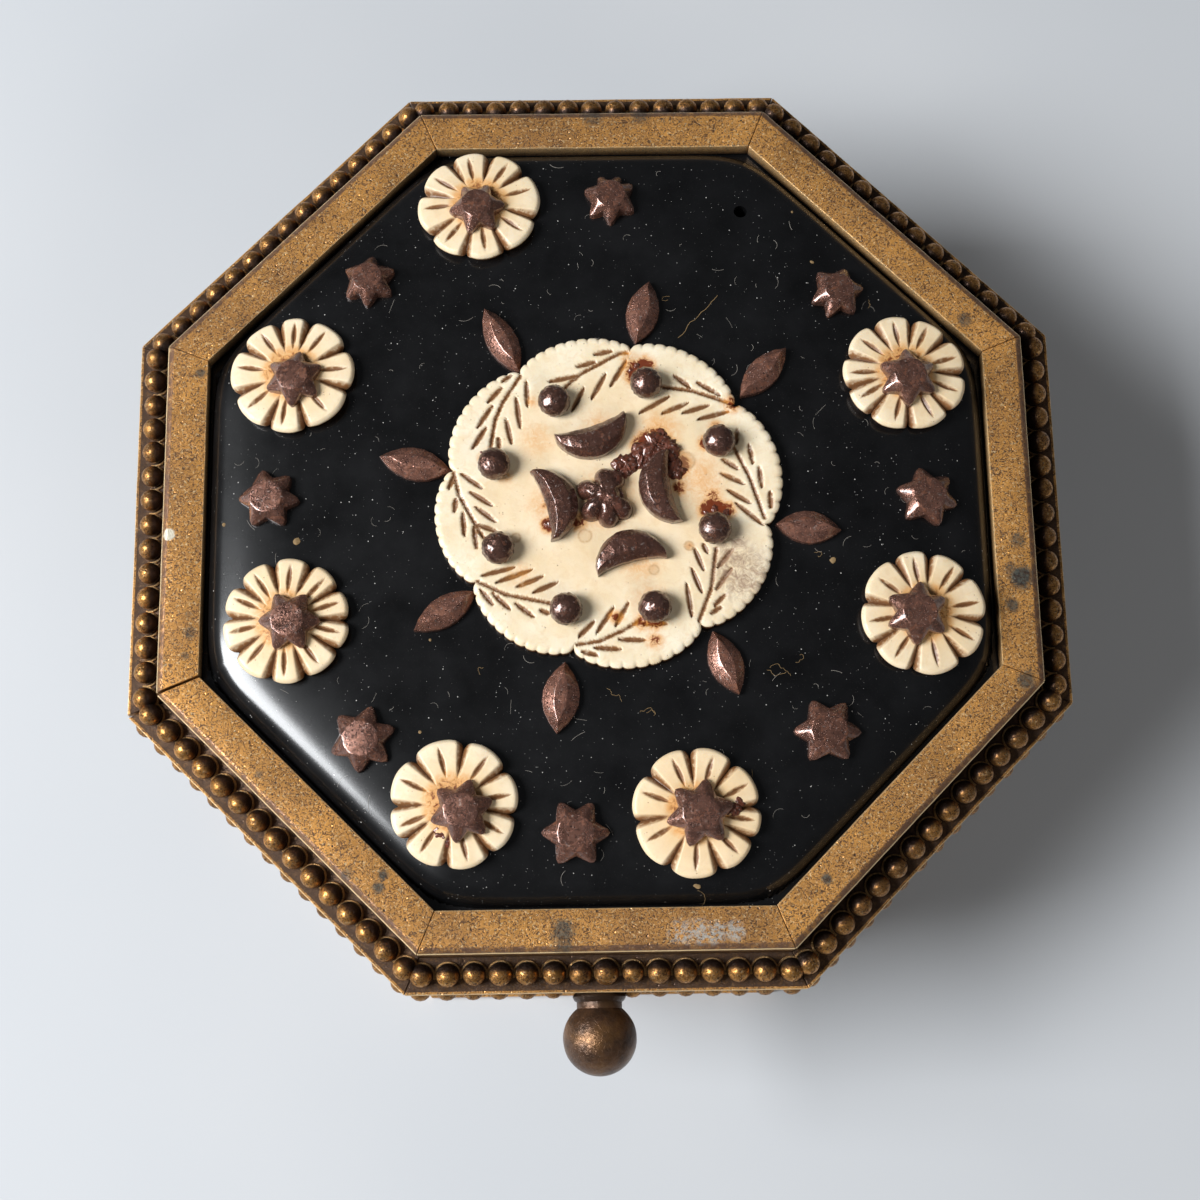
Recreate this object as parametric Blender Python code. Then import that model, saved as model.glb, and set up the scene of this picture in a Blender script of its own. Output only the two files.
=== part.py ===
"""Octagonal shell box with a beaded gilt brass lid, a domed plaque and applied ornaments.

Metres, +Z up. The origin is the middle of the underside and the front, with the
thumb ball, faces -Y. The lid rests on the mouth of the base and lifts off.
"""

import math

import bmesh
import bpy
from mathutils import Matrix, Vector

MM = 0.001

# Clearance between pieces that rest on, fit in or pass each other
GAP = 0.3 * MM

# Base
BASE_HEIGHT = 27.7 * MM
WALL = 3.2 * MM
FLOOR = 2.4 * MM
MOUTH_RIM_HEIGHT = 3.2 * MM
MOUTH_RIM_OVERHANG = 3.4 * MM
MOUTH_RIM_EDGE = 0.9 * MM
# Shares of the rim's overhang at its lower edge and at its waist, and the waist's height
MOUTH_RIM_TOE = 0.15
MOUTH_RIM_WAIST = 0.35
MOUTH_RIM_WAIST_LEVEL = 0.45
FOOT_HEIGHT = 4.6 * MM
FOOT_SPREAD = 2.6 * MM
FOOT_EDGE = 1.5 * MM
FOOT_TOP = 0.9 * MM
# Shares of the foot's spread at the middle and top of its slope, and the middle's height
FOOT_WAIST = 0.62
FOOT_NECK = 0.45
FOOT_WAIST_LEVEL = 0.62

# Lid moulding, measured outwards and downwards from the arris of its flat top band
SIDE_NAMES = ("front", "front_right", "right", "back_right", "back", "back_left", "left", "front_left")
BAND_ACROSS = 87.0 * MM
BAND_WIDTH = 4.15 * MM
CHAMFER_WIDTH = 0.55 * MM
CHAMFER_DROP = 0.35 * MM
RISER = 3.55 * MM
LEDGE_FALL = 0.25 * MM
FILLET_WIDTH = 0.32 * MM
FILLET_HEIGHT = 0.85 * MM
COVE_DEPTH = 0.87 * MM
SOLE_WIDTH = 0.7 * MM
SOLE_HEIGHT = 0.6 * MM
LIP_HEIGHT = 1.8 * MM
GROOVE_DEPTH = 0.95 * MM
SEAT_WIDTH = 0.75 * MM
TONGUE_THICKNESS = 1.1 * MM
TONGUE_DROP = 1.5 * MM

# Beads of the moulding
BEAD_DIAMETER = 2.4 * MM
BEAD_SPACING = 0.165 * MM
BEAD_CHANNEL = 0.55 * MM
BEAD_MARGIN = 0.3 * MM
COVE_MARGIN = 0.4 * MM
BEAD_SINK = 0.25 * MM
BEAD_SIDES = 5
BEAD_CROWN = 0.6
BEAD_RISE = 0.92
COVE_BEAD_RISE = 0.56

# Domed plaque
PLAQUE_EDGE = 1.2 * MM
PLAQUE_THICKNESS = 1.6 * MM
ROLL_WIDTH = 1.9 * MM
ROLL_RISE = 1.3 * MM
SHOULDER_WIDTH = 8.5 * MM
SHOULDER_RISE = 2.4 * MM
CROWN = 0.8 * MM
CORNER_SOFTNESS = 1.1 * MM
PIN_HOLE = 1.35 * MM

# Thumb ball
BALL_DIAMETER = 7.2 * MM
BALL_COLLAR_DIAMETER = 5.2 * MM
BALL_NECK_DIAMETER = 4.7 * MM
BALL_NECK_LENGTH = 1.25 * MM
BALL_COLLAR_LENGTH = 0.55 * MM
BALL_SHANK_DIAMETER = 3.0 * MM
BALL_FACETS = 10
BALL_SIDE_STEP = -0.7 * MM

# Applied ornaments
FLOWER_INSET = 6.2 * MM
FLOWER_DIAMETER = 12.4 * MM
FLOWER_THICKNESS = 1.3 * MM
FLOWER_HUB = 1.06
PETAL_GROOVE = 0.5
STAR_INSET = 6.85 * MM
STAR_POINTS = 6
STAR_DIAMETER = 6.2 * MM
STAR_HEIGHT = 1.6 * MM
STAR_VALLEY = 0.6
STAR_TIP_LEVEL = 0.4
STAR_VALLEY_LEVEL = 0.72
STAR_TABLE = 0.5
LEAF_CLEAR = 1.1 * MM
LEAF_LENGTH = 6.8 * MM
LEAF_WIDTH = 3.0 * MM
LEAF_HEIGHT = 1.4 * MM
LEAF_EDGE_LEVEL = 0.45
LEAF_TABLE_LENGTH = 0.66
LEAF_TABLE_WIDTH = 0.36
MEDALLION_DIAMETER = 34.6 * MM
MEDALLION_THICKNESS = 1.2 * MM
MEDALLION_OFFSET_X = 1.1 * MM
MEDALLION_OFFSET_Y = 0.4 * MM
NOTCH_SHARE = 0.9
SCALLOP_DEPTH = 0.35 * MM
SCALLOPS_PER_LOBE = 6
BALL_STUD_CIRCLE = 0.347 * MEDALLION_DIAMETER
BALL_STUD_DIAMETER = 3.1 * MM
BALL_STUD_FACETS = 7
CRESCENT_CIRCLE = 0.147 * MEDALLION_DIAMETER
CRESCENT_LENGTH = 7.2 * MM
CRESCENT_BELLY = 3.6 * MM
CRESCENT_HOLLOW = 0.9 * MM
CRESCENT_HEIGHT = 1.9 * MM
CRESCENT_TAPER = 0.96
CENTRE_STAR_DIAMETER = 5.6 * MM
CENTRE_STAR_HEIGHT = 2.0 * MM
CENTRE_STAR_TABLE = 0.62
CENTRE_STAR_OFFSET_X = -0.4 * MM
CENTRE_STAR_OFFSET_Y = 0.65 * MM
CENTRE_STAR_TURN = 36.0

# Each flower: angle round the lid, step out from the flower circle in mm, petals, turn
FLOWERS = (
    (110.3, 0.6, 8, 76.0),
    (155.8, 0.1, 8, 70.0),
    (200.6, -0.6, 10, 64.0),
    (244.2, -0.4, 8, 79.0),
    (285.9, -1.3, 8, 52.0),
    (339.8, 0.2, 8, 40.0),
    (23.0, 0.3, 9, 38.0),
)
FLOWER_STAR_TURNS = (64.0, 78.0, 58.0, 74.0, 79.0, 84.0, 93.0)
# Each star between the flowers: angle round the lid, step out from the star circle in mm, points, turn
FIELD_STARS = (
    (87.0, 0.1, 7, 67.0),
    (133.9, 0.5, 6, 84.0),
    (178.3, 0.0, 6, 58.0),
    (225.0, 0.1, 6, 75.0),
    (265.1, 0.0, 6, 60.0),
    (313.1, -1.0, 6, 60.0),
    (0.5, -0.1, 6, 45.0),
    (42.0, 0.4, 6, 72.0),
)
# Each leaf: angle round the medallion, direction of its length, angle of the notch it points to
LEAVES = (
    (79.8, 77.0, 81.5),
    (121.6, 118.0, 123.8),
    (167.9, 167.0, 167.4),
    (213.4, 212.0, 209.4),
    (255.3, 263.0, 255.0),
    (303.8, 292.0, 306.1),
    (351.7, 353.5, 351.5),
    (400.8, 407.0, 397.4),
)
# Each ball stud: angle round the medallion, step out from the stud circle in mm
BALL_STUDS = (
    (117.0, 0.1),
    (72.9, 1.1),
    (29.9, 0.7),
    (345.1, -1.3),
    (291.5, -0.5),
    (247.5, -0.3),
    (201.7, 0.0),
    (160.2, 0.3),
)
# Each crescent: angle round the medallion, step out from the crescent circle in mm, way of its belly
CRESCENTS = (
    (103.6, 0.9, 291.5),
    (179.1, -0.6, 18.0),
    (302.1, -0.1, 103.0),
    (28.1, -0.3, 189.0),
)
MISSING_FLOWER_ANGLE = 64.3
MISSING_FLOWER_STEP = 1.5

GILT = (0.46, 0.27, 0.10, 1.0)
SHELL_BLACK = (0.012, 0.012, 0.014, 1.0)
IVORY = (0.80, 0.66, 0.46, 1.0)
STEEL_RUST = (0.085, 0.035, 0.025, 1.0)

SIDES = len(SIDE_NAMES)
SIDE_ANGLE = 2.0 * math.pi / SIDES
HALF_SIDE = math.tan(SIDE_ANGLE / 2.0)

MOUTH_TOP = BASE_HEIGHT
SOLE = MOUTH_TOP + GAP
LEDGE_WIDTH = BEAD_CHANNEL + BEAD_DIAMETER + BEAD_MARGIN
COVE_HEIGHT = BEAD_DIAMETER + 2.0 * COVE_MARGIN
COVE_FALL = COVE_DEPTH / 2.0
COVE_BOTTOM = SOLE + SOLE_HEIGHT
COVE_TOP = COVE_BOTTOM + COVE_HEIGHT
COVE_MIDDLE = (COVE_BOTTOM + COVE_TOP) / 2.0
LEDGE_LOW = COVE_TOP + COVE_FALL + FILLET_HEIGHT
LEDGE_TOP = LEDGE_LOW + LEDGE_FALL
BAND_TOP = LEDGE_TOP + RISER + CHAMFER_DROP

ARRIS = BAND_ACROSS / 2.0
LIP = ARRIS - BAND_WIDTH
GROOVE = LIP + GROOVE_DEPTH
TONGUE_IN = LIP - SEAT_WIDTH
TONGUE_OUT = TONGUE_IN + TONGUE_THICKNESS
MOUTH = TONGUE_OUT + GAP
WALL_OUT = MOUTH + WALL
FILLET = ARRIS + LEDGE_WIDTH + FILLET_WIDTH
COVE = FILLET - COVE_DEPTH
GROOVE_TOP = BAND_TOP - LIP_HEIGHT
GROOVE_BOTTOM = GROOVE_TOP - PLAQUE_EDGE - 2.0 * GAP
PLAQUE_OUT = GROOVE - GAP
DOME_EDGE = GROOVE_TOP - GAP
LEAF_CIRCLE = NOTCH_SHARE * MEDALLION_DIAMETER / 2.0 + LEAF_CLEAR + LEAF_LENGTH / 2.0


def clear_scene():
    for item in list(bpy.data.objects):
        bpy.data.objects.remove(item, do_unlink=True)


def finish(name, colour, roughness, metallic):
    material = bpy.data.materials.new(name)
    material.use_nodes = True
    shader = material.node_tree.nodes["Principled BSDF"]
    shader.inputs["Base Color"].default_value = colour
    shader.inputs["Roughness"].default_value = roughness
    shader.inputs["Metallic"].default_value = metallic
    return material


def gilt_brass(name):
    return finish(name, GILT, 0.38, 1.0)


def polished_shell(name):
    return finish(name, SHELL_BLACK, 0.12, 0.0)


def carved_ivory(name):
    return finish(name, IVORY, 0.45, 0.0)


def rusted_steel(name):
    return finish(name, STEEL_RUST, 0.42, 0.6)


def mesh_from(name, points, faces):
    mesh = bpy.data.meshes.new(name)
    mesh.from_pydata([tuple(p) for p in points], [], faces)
    form = bmesh.new()
    form.from_mesh(mesh)
    bmesh.ops.recalc_face_normals(form, faces=form.faces)
    form.to_mesh(mesh)
    form.free()
    return mesh


def add_object(name, mesh, material=None, place=None):
    item = bpy.data.objects.new(name, mesh)
    bpy.context.scene.collection.objects.link(item)
    if material is not None:
        mesh.materials.clear()
        mesh.materials.append(material)
    if place is not None:
        item.matrix_world = place
    return item


def applied(item):
    """Mesh of an object with its modifiers in it; the object itself is removed."""
    bpy.context.view_layer.update()
    evaluated = item.evaluated_get(bpy.context.evaluated_depsgraph_get())
    mesh = bpy.data.meshes.new_from_object(evaluated)
    bpy.data.objects.remove(item, do_unlink=True)
    return mesh


def boolean(item, other, operation):
    other.hide_render = True
    other.display_type = "WIRE"
    cut = item.modifiers.new(operation.title(), "BOOLEAN")
    cut.operation = operation
    cut.solver = "EXACT"
    cut.object = other
    mesh = applied(item)
    bpy.data.objects.remove(other, do_unlink=True)
    return mesh


def loft(loops, closed_ring=False):
    """Faces between equal loops of points; the ends are capped unless they meet."""
    count = len(loops[0])
    points = [p for loop in loops for p in loop]
    faces = []
    spans = len(loops) if closed_ring else len(loops) - 1
    for i in range(spans):
        a = i * count
        b = ((i + 1) % len(loops)) * count
        for j in range(count):
            k = (j + 1) % count
            faces.append((a + j, a + k, b + k, b + j))
    if not closed_ring:
        faces.append(tuple(range(count)))
        faces.append(tuple(range((len(loops) - 1) * count, len(loops) * count)))
    return points, faces


def octagon(apothem, z, per_side=1):
    """Points of an octagon loop: its corners, with the sides cut into equal parts."""
    radius = apothem / math.cos(SIDE_ANGLE / 2.0)
    corners = []
    for i in range(SIDES):
        angle = (i + 0.5) * SIDE_ANGLE
        corners.append(Vector((radius * math.cos(angle), radius * math.sin(angle), z)))
    loop = []
    for i, corner in enumerate(corners):
        following = corners[(i + 1) % SIDES]
        for k in range(per_side):
            loop.append(corner.lerp(following, k / per_side))
    return loop


def octagon_ring(name, section):
    """Solid ring with the given closed section of (apothem, height) points."""
    points, faces = loft([octagon(out, z) for out, z in section], closed_ring=True)
    return mesh_from(name, points, faces)


# Base

def make_base_body():
    outer_bottom = octagon(WALL_OUT, 0.0)
    outer_top = octagon(WALL_OUT, MOUTH_TOP - MOUTH_RIM_HEIGHT - GAP)
    inner_top = octagon(MOUTH, MOUTH_TOP - MOUTH_RIM_HEIGHT - GAP)
    inner_bottom = octagon(MOUTH, FLOOR)
    points, faces = loft([outer_bottom, outer_top, inner_top, inner_bottom])
    add_object("base_body", mesh_from("base_body", points, faces), polished_shell("base_shell"))


def make_mouth_rim():
    bottom = MOUTH_TOP - MOUTH_RIM_HEIGHT
    outer = WALL_OUT + MOUTH_RIM_OVERHANG
    section = (
        (MOUTH, bottom),
        (WALL_OUT + MOUTH_RIM_TOE * MOUTH_RIM_OVERHANG, bottom),
        (WALL_OUT + MOUTH_RIM_WAIST * MOUTH_RIM_OVERHANG, bottom + MOUTH_RIM_WAIST_LEVEL * MOUTH_RIM_HEIGHT),
        (outer, MOUTH_TOP - MOUTH_RIM_EDGE),
        (outer, MOUTH_TOP),
        (MOUTH, MOUTH_TOP),
    )
    add_object("base_mouth_rim", octagon_ring("base_mouth_rim", section), gilt_brass("mouth_rim_brass"))


def make_foot():
    inner = WALL_OUT + GAP
    outer = inner + FOOT_SPREAD
    neck = inner + FOOT_NECK * FOOT_SPREAD
    section = (
        (inner, 0.0),
        (outer, 0.0),
        (outer, FOOT_EDGE),
        (inner + FOOT_WAIST * FOOT_SPREAD, FOOT_WAIST_LEVEL * FOOT_HEIGHT),
        (neck, FOOT_HEIGHT - FOOT_TOP),
        (neck, FOOT_HEIGHT),
        (inner, FOOT_HEIGHT),
    )
    add_object("foot_moulding", octagon_ring("foot_moulding", section), gilt_brass("foot_brass"))


# Lid moulding

def bar_section():
    """Section of one lid bar, outwards from the lid's middle and upwards."""
    return (
        (LIP, BAND_TOP),
        (ARRIS - CHAMFER_WIDTH, BAND_TOP),
        (ARRIS, BAND_TOP - CHAMFER_DROP),
        (ARRIS, LEDGE_TOP),
        (FILLET - FILLET_WIDTH, LEDGE_LOW),
        (FILLET, LEDGE_LOW),
        (FILLET, LEDGE_LOW - FILLET_HEIGHT),
        (COVE, COVE_TOP),
        (COVE, COVE_BOTTOM),
        (COVE + SOLE_WIDTH, COVE_BOTTOM),
        (COVE + SOLE_WIDTH, SOLE),
        (TONGUE_OUT, SOLE),
        (TONGUE_OUT, SOLE - TONGUE_DROP),
        (TONGUE_IN, SOLE - TONGUE_DROP),
        (TONGUE_IN, GROOVE_BOTTOM),
        (GROOVE, GROOVE_BOTTOM),
        (GROOVE, GROOVE_TOP),
        (LIP, GROOVE_TOP),
    )


def bar_body(name):
    """Bar along the front side, mitred at both ends."""
    ends = []
    for sign in (-1.0, 1.0):
        trim = GAP / 2.0 / math.cos(SIDE_ANGLE / 2.0)
        ends.append([Vector((sign * (out * HALF_SIDE - trim), -out, z)) for out, z in bar_section()])
    points, faces = loft(ends)
    return mesh_from(name, points, faces)


def bead(height):
    """One faceted bead standing on z = 0 with its root just under it, as points and faces."""
    radius = BEAD_DIAMETER / 2.0
    points = []
    for z, r in ((-BEAD_SINK, radius), (height, BEAD_CROWN * radius)):
        for i in range(BEAD_SIDES):
            angle = 2.0 * math.pi * i / BEAD_SIDES
            points.append(Vector((r * math.cos(angle), r * math.sin(angle), z)))
    faces = [tuple(reversed(range(BEAD_SIDES))), tuple(range(BEAD_SIDES, 2 * BEAD_SIDES))]
    for i in range(BEAD_SIDES):
        k = (i + 1) % BEAD_SIDES
        faces.append((i, k, BEAD_SIDES + k, BEAD_SIDES + i))
    return points, faces


def bead_row(name, centre_out, height, place, free_from=None, free_by=0.0):
    """Beads along the front side as one mesh, with none within a distance of a place in it."""
    end_room = (BEAD_DIAMETER / 2.0 + GAP / 2.0 + BEAD_SPACING) / math.cos(SIDE_ANGLE / 2.0)
    pitch = BEAD_DIAMETER + BEAD_SPACING
    steps = int(2.0 * (centre_out * HALF_SIDE - end_room) / pitch)
    points = []
    faces = []
    for i in range(steps + 1):
        x = (i - steps / 2.0) * pitch
        if free_from is not None and abs(x - free_from) < free_by:
            continue
        more_points, more_faces = bead(height)
        start = len(points)
        move = Matrix.Translation((x, 0.0, 0.0)) @ place
        points.extend(move @ p for p in more_points)
        faces.extend(tuple(start + k for k in face) for face in more_faces)
    return mesh_from(name, points, faces)


def ledge_beads(name):
    centre_out = ARRIS + BEAD_CHANNEL + BEAD_DIAMETER / 2.0
    fall = LEDGE_FALL * (centre_out - ARRIS) / LEDGE_WIDTH
    place = Matrix.Translation((0.0, -centre_out, LEDGE_TOP - fall))
    return bead_row(name, centre_out, BEAD_RISE * BEAD_DIAMETER, place)


def cove_beads(name, with_ball):
    place = Matrix.Translation((0.0, -COVE, COVE_MIDDLE)) @ Matrix.Rotation(math.pi / 2.0, 4, "X")
    height = COVE_BEAD_RISE * BEAD_DIAMETER
    if not with_ball:
        return bead_row(name, COVE, height, place)
    return bead_row(name, COVE, height, place, BALL_SIDE_STEP, (BALL_COLLAR_DIAMETER + BEAD_DIAMETER) / 2.0)


def bar_mesh(name, with_ball):
    body = add_object(name, bar_body(name))
    upper = add_object(name + "_upper_beads", ledge_beads(name + "_upper_beads"))
    mesh = boolean(body, upper, "UNION")
    body = add_object(name, mesh)
    lower = add_object(name + "_lower_beads", cove_beads(name + "_lower_beads", with_ball))
    return boolean(body, lower, "UNION")


def make_lid_moulding():
    plain = bar_mesh("lid_bar", False)
    front = bar_mesh("lid_bar_front", True)
    for i, side in enumerate(SIDE_NAMES):
        mesh = front if i == 0 else plain.copy()
        turn = Matrix.Rotation(i * SIDE_ANGLE, 4, "Z")
        add_object("lid_bar_" + side, mesh, gilt_brass("lid_brass_" + side), turn)


def make_thumb_ball():
    """Ball on a short neck, turned about the front-to-back line, its shank in the lid's cove."""
    radius = BALL_DIAMETER / 2.0
    neck = BALL_NECK_DIAMETER / 2.0
    shank = BALL_SHANK_DIAMETER / 2.0
    collar = FILLET + GAP
    centre = collar + BALL_NECK_LENGTH + math.sqrt(radius * radius - neck * neck)
    profile = [
        (COVE + GAP, shank),
        (collar, shank),
        (collar, BALL_COLLAR_DIAMETER / 2.0),
        (collar + BALL_COLLAR_LENGTH, neck),
    ]
    start = math.pi - math.asin(neck / radius)
    steps = 6
    for i in range(steps):
        angle = start * (1.0 - i / steps)
        profile.append((centre + radius * math.cos(angle), radius * math.sin(angle)))
    points = [Vector((0.0, -(COVE + GAP), 0.0))]
    for out, r in profile:
        for i in range(BALL_FACETS):
            angle = 2.0 * math.pi * i / BALL_FACETS
            points.append(Vector((r * math.cos(angle), -out, r * math.sin(angle))))
    points.append(Vector((0.0, -(centre + radius), 0.0)))
    faces = []
    last = 1 + (len(profile) - 1) * BALL_FACETS
    for i in range(BALL_FACETS):
        k = (i + 1) % BALL_FACETS
        faces.append((0, 1 + i, 1 + k))
        for a in range(1, last, BALL_FACETS):
            b = a + BALL_FACETS
            faces.append((a + i, b + i, b + k, a + k))
        faces.append((last + i, len(points) - 1, last + k))
    place = Matrix.Translation((BALL_SIDE_STEP, 0.0, COVE_MIDDLE))
    add_object("thumb_ball", mesh_from("thumb_ball", points, faces), gilt_brass("ball_brass"), place)


# Domed plaque

def inset_depth(x, y):
    """Distance in from the lip, with the octagon's corners rounded inwards."""
    total = 0.0
    for i in range(SIDES):
        angle = i * SIDE_ANGLE
        reach = LIP - (x * math.cos(angle) + y * math.sin(angle))
        total += math.exp(-reach / CORNER_SOFTNESS)
    return max(0.0, -CORNER_SOFTNESS * math.log(total))


def quarter_round(share):
    share = min(1.0, max(0.0, share))
    return math.sqrt(1.0 - (1.0 - share) ** 2)


def dome_height(x, y):
    depth = max(0.0, inset_depth(x, y) - GAP)
    roll = ROLL_RISE * quarter_round(depth / ROLL_WIDTH)
    shoulder = SHOULDER_RISE * quarter_round(depth / SHOULDER_WIDTH)
    crown = CROWN * max(0.0, 1.0 - (x * x + y * y) / (LIP * LIP)) * min(1.0, depth / SHOULDER_WIDTH)
    return DOME_EDGE + roll + shoulder + crown


def dome_loop(apothem, drop):
    return [Vector((p.x, p.y, dome_height(p.x, p.y) - drop)) for p in octagon(apothem, 0.0, 2)]


def make_plaque():
    """Domed shell held by its rim in the bars' groove, with the hole of a lost flower's pin."""
    roll_stations = (0.15, 1.0)
    field_stations = (0.905, 0.84, 0.7, 0.42, 0.16)
    under_stations = (0.88, 0.66, 0.3)
    tops = [octagon(PLAQUE_OUT, DOME_EDGE, 2), octagon(LIP - GAP, DOME_EDGE, 2)]
    tops += [dome_loop(LIP - GAP - ROLL_WIDTH * share, 0.0) for share in roll_stations]
    tops += [dome_loop(LIP * share, 0.0) for share in field_stations]
    under_edge = DOME_EDGE - PLAQUE_EDGE
    unders = [octagon(PLAQUE_OUT, under_edge, 2), octagon(TONGUE_IN - GAP, under_edge, 2)]
    unders += [dome_loop(LIP * share, PLAQUE_THICKNESS) for share in under_stations]
    points, faces = loft(list(reversed(unders)) + tops)
    plaque = add_object("lid_plaque", mesh_from("lid_plaque", points, faces))
    place = ring_point(MISSING_FLOWER_ANGLE, LIP - FLOWER_INSET + MISSING_FLOWER_STEP * MM)
    drill = bpy.data.meshes.new("pin_hole")
    form = bmesh.new()
    bmesh.ops.create_cone(form, cap_ends=True, segments=8, radius1=PIN_HOLE / 2.0,
                          radius2=PIN_HOLE / 2.0, depth=8.0 * PLAQUE_THICKNESS)
    form.to_mesh(drill)
    form.free()
    height = dome_height(place.x, place.y)
    cutter = add_object("pin_hole", drill, None, Matrix.Translation((place.x, place.y, height)))
    add_object("lid_plaque", boolean(plaque, cutter, "DIFFERENCE"), polished_shell("plaque_shell"))


# Places on the dome

def ring_point(degrees, radius):
    angle = math.radians(degrees)
    return Vector((radius * math.cos(angle), radius * math.sin(angle), 0.0))


def seat(x, y, reach, turn_degrees):
    """Place of an ornament that rests on the dome, clear of it all over its reach."""
    step = reach / 2.0
    slope_x = (dome_height(x + step, y) - dome_height(x - step, y)) / (2.0 * step)
    slope_y = (dome_height(x, y + step) - dome_height(x, y - step)) / (2.0 * step)
    lift = -1.0
    ways = 16
    for share in (0.0, 0.35, 0.7, 1.0):
        for i in range(ways):
            away = ring_point(360.0 * i / ways, share * reach)
            height = dome_height(x + away.x, y + away.y)
            lift = max(lift, height - slope_x * away.x - slope_y * away.y)
    normal = Vector((-slope_x, -slope_y, 1.0)).normalized()
    tilt = Vector((0.0, 0.0, 1.0)).rotation_difference(normal).to_matrix().to_4x4()
    turn = Matrix.Rotation(math.radians(turn_degrees), 4, "Z")
    return Matrix.Translation((x, y, lift + GAP)) @ tilt @ turn


# Ornaments

def prism(outline, top_points, top_faces):
    """Closed solid with a flat foot and upright sides up to an outline, under the given top faces."""
    count = len(outline)
    points = [Vector((p.x, p.y, 0.0)) for p in outline] + list(outline) + list(top_points)
    faces = [tuple(reversed(range(count)))]
    for i in range(count):
        k = (i + 1) % count
        faces.append((i, k, count + k, count + i))
    faces.extend(top_faces)
    return points, faces


def flower_mesh(name, petals):
    """Round slice with a groove between each petal and the next that dies out towards the hub."""
    radius = FLOWER_DIAMETER / 2.0
    # Rings: share of the radius, level as a share of the thickness, depth of the grooves, scallop
    rings = ((1.0, 0.80, 1.0, 1.0), (0.80, 0.93, 0.75, 1.0), (0.34, 1.04, 0.0, 0.0))
    # Stations across a petal: share of its width, how far short of the rim, groove
    stations = ((0.0, 0.07, 1.0), (0.16, 0.01, 0.0), (0.5, 0.0, 0.0), (0.84, 0.01, 0.0))
    points = []
    for share, level, cut, scallop in rings:
        for petal in range(petals):
            for along, short, groove in stations:
                angle = 2.0 * math.pi * (petal + along) / petals
                r = radius * share * (1.0 - scallop * short)
                z = FLOWER_THICKNESS * (level - PETAL_GROOVE * cut * groove)
                points.append(Vector((r * math.cos(angle), r * math.sin(angle), z)))
    count = petals * len(stations)
    outline = points[:count]
    tops = points[count:] + [Vector((0.0, 0.0, FLOWER_HUB * FLOWER_THICKNESS))]
    hub = count + len(points)
    last = hub - count
    faces = []
    for a in range(count, last, count):
        for i in range(count):
            k = (i + 1) % count
            faces.append((a + i, a + k, a + count + k, a + count + i))
    for i in range(0, count, len(stations)):
        edge = tuple(last + (i + k) % count for k in range(len(stations) + 1))
        faces.append(edge + (hub,))
    body, body_faces = prism(outline, tops, faces)
    return mesh_from(name, body, body_faces)


def star_mesh(name, tips, diameter, height, table_share):
    """Star with a flat table and two facets falling to each point."""
    radius = diameter / 2.0
    outline = []
    table = []
    for i in range(tips):
        tip = 2.0 * math.pi * i / tips
        valley = tip + math.pi / tips
        outline.append(Vector((radius * math.cos(tip), radius * math.sin(tip), STAR_TIP_LEVEL * height)))
        r = STAR_VALLEY * radius
        outline.append(Vector((r * math.cos(valley), r * math.sin(valley), STAR_VALLEY_LEVEL * height)))
        r = table_share * radius
        table.append(Vector((r * math.cos(valley), r * math.sin(valley), height)))
    count = len(outline)
    first = 2 * count
    faces = []
    for i in range(tips):
        before = first + (i - 1) % tips
        here = first + i
        tip = count + 2 * i
        valley_before = count + (2 * i - 1) % count
        valley = count + 2 * i + 1
        faces.append((before, tip, here))
        faces.append((valley_before, tip, before))
        faces.append((tip, valley, here))
    faces.append(tuple(first + i for i in range(tips)))
    points, all_faces = prism(outline, table, faces)
    return mesh_from(name, points, all_faces)


def lens(length, width, count, z):
    """Closed pointed outline along X: two arcs that meet in points."""
    half = length / 2.0
    bow = width / 2.0
    loop = []
    for i in range(count):
        share = -1.0 + 2.0 * i / count
        loop.append(Vector((half * share, -bow * (1.0 - share * share), z)))
    for i in range(count):
        share = 1.0 - 2.0 * i / count
        loop.append(Vector((half * share, bow * (1.0 - share * share), z)))
    return loop


def leaf_mesh(name):
    outline = lens(LEAF_LENGTH, LEAF_WIDTH, 4, LEAF_EDGE_LEVEL * LEAF_HEIGHT)
    table = lens(LEAF_TABLE_LENGTH * LEAF_LENGTH, LEAF_TABLE_WIDTH * LEAF_WIDTH, 4, LEAF_HEIGHT)
    count = len(outline)
    faces = []
    for i in range(count):
        k = (i + 1) % count
        faces.append((count + i, count + k, 2 * count + k, 2 * count + i))
    faces.append(tuple(2 * count + i for i in range(count)))
    points, all_faces = prism(outline, table, faces)
    return mesh_from(name, points, all_faces)


def ball_stud_mesh(name):
    radius = BALL_STUD_DIAMETER / 2.0
    # Rings: share of the radius, level in radii
    rings = ((0.88, 0.0), (1.0, 0.55), (0.68, 1.3))
    apex = 1.62
    loops = []
    for share, level in rings:
        loop = []
        for i in range(BALL_STUD_FACETS):
            point = ring_point(360.0 * i / BALL_STUD_FACETS, share * radius)
            loop.append(Vector((point.x, point.y, level * radius)))
        loops.append(loop)
    points, faces = loft(loops)
    faces.pop()
    top = len(points)
    points.append(Vector((0.0, 0.0, apex * radius)))
    last = top - BALL_STUD_FACETS
    for i in range(BALL_STUD_FACETS):
        faces.append((last + i, last + (i + 1) % BALL_STUD_FACETS, top))
    return mesh_from(name, points, faces)


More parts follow.
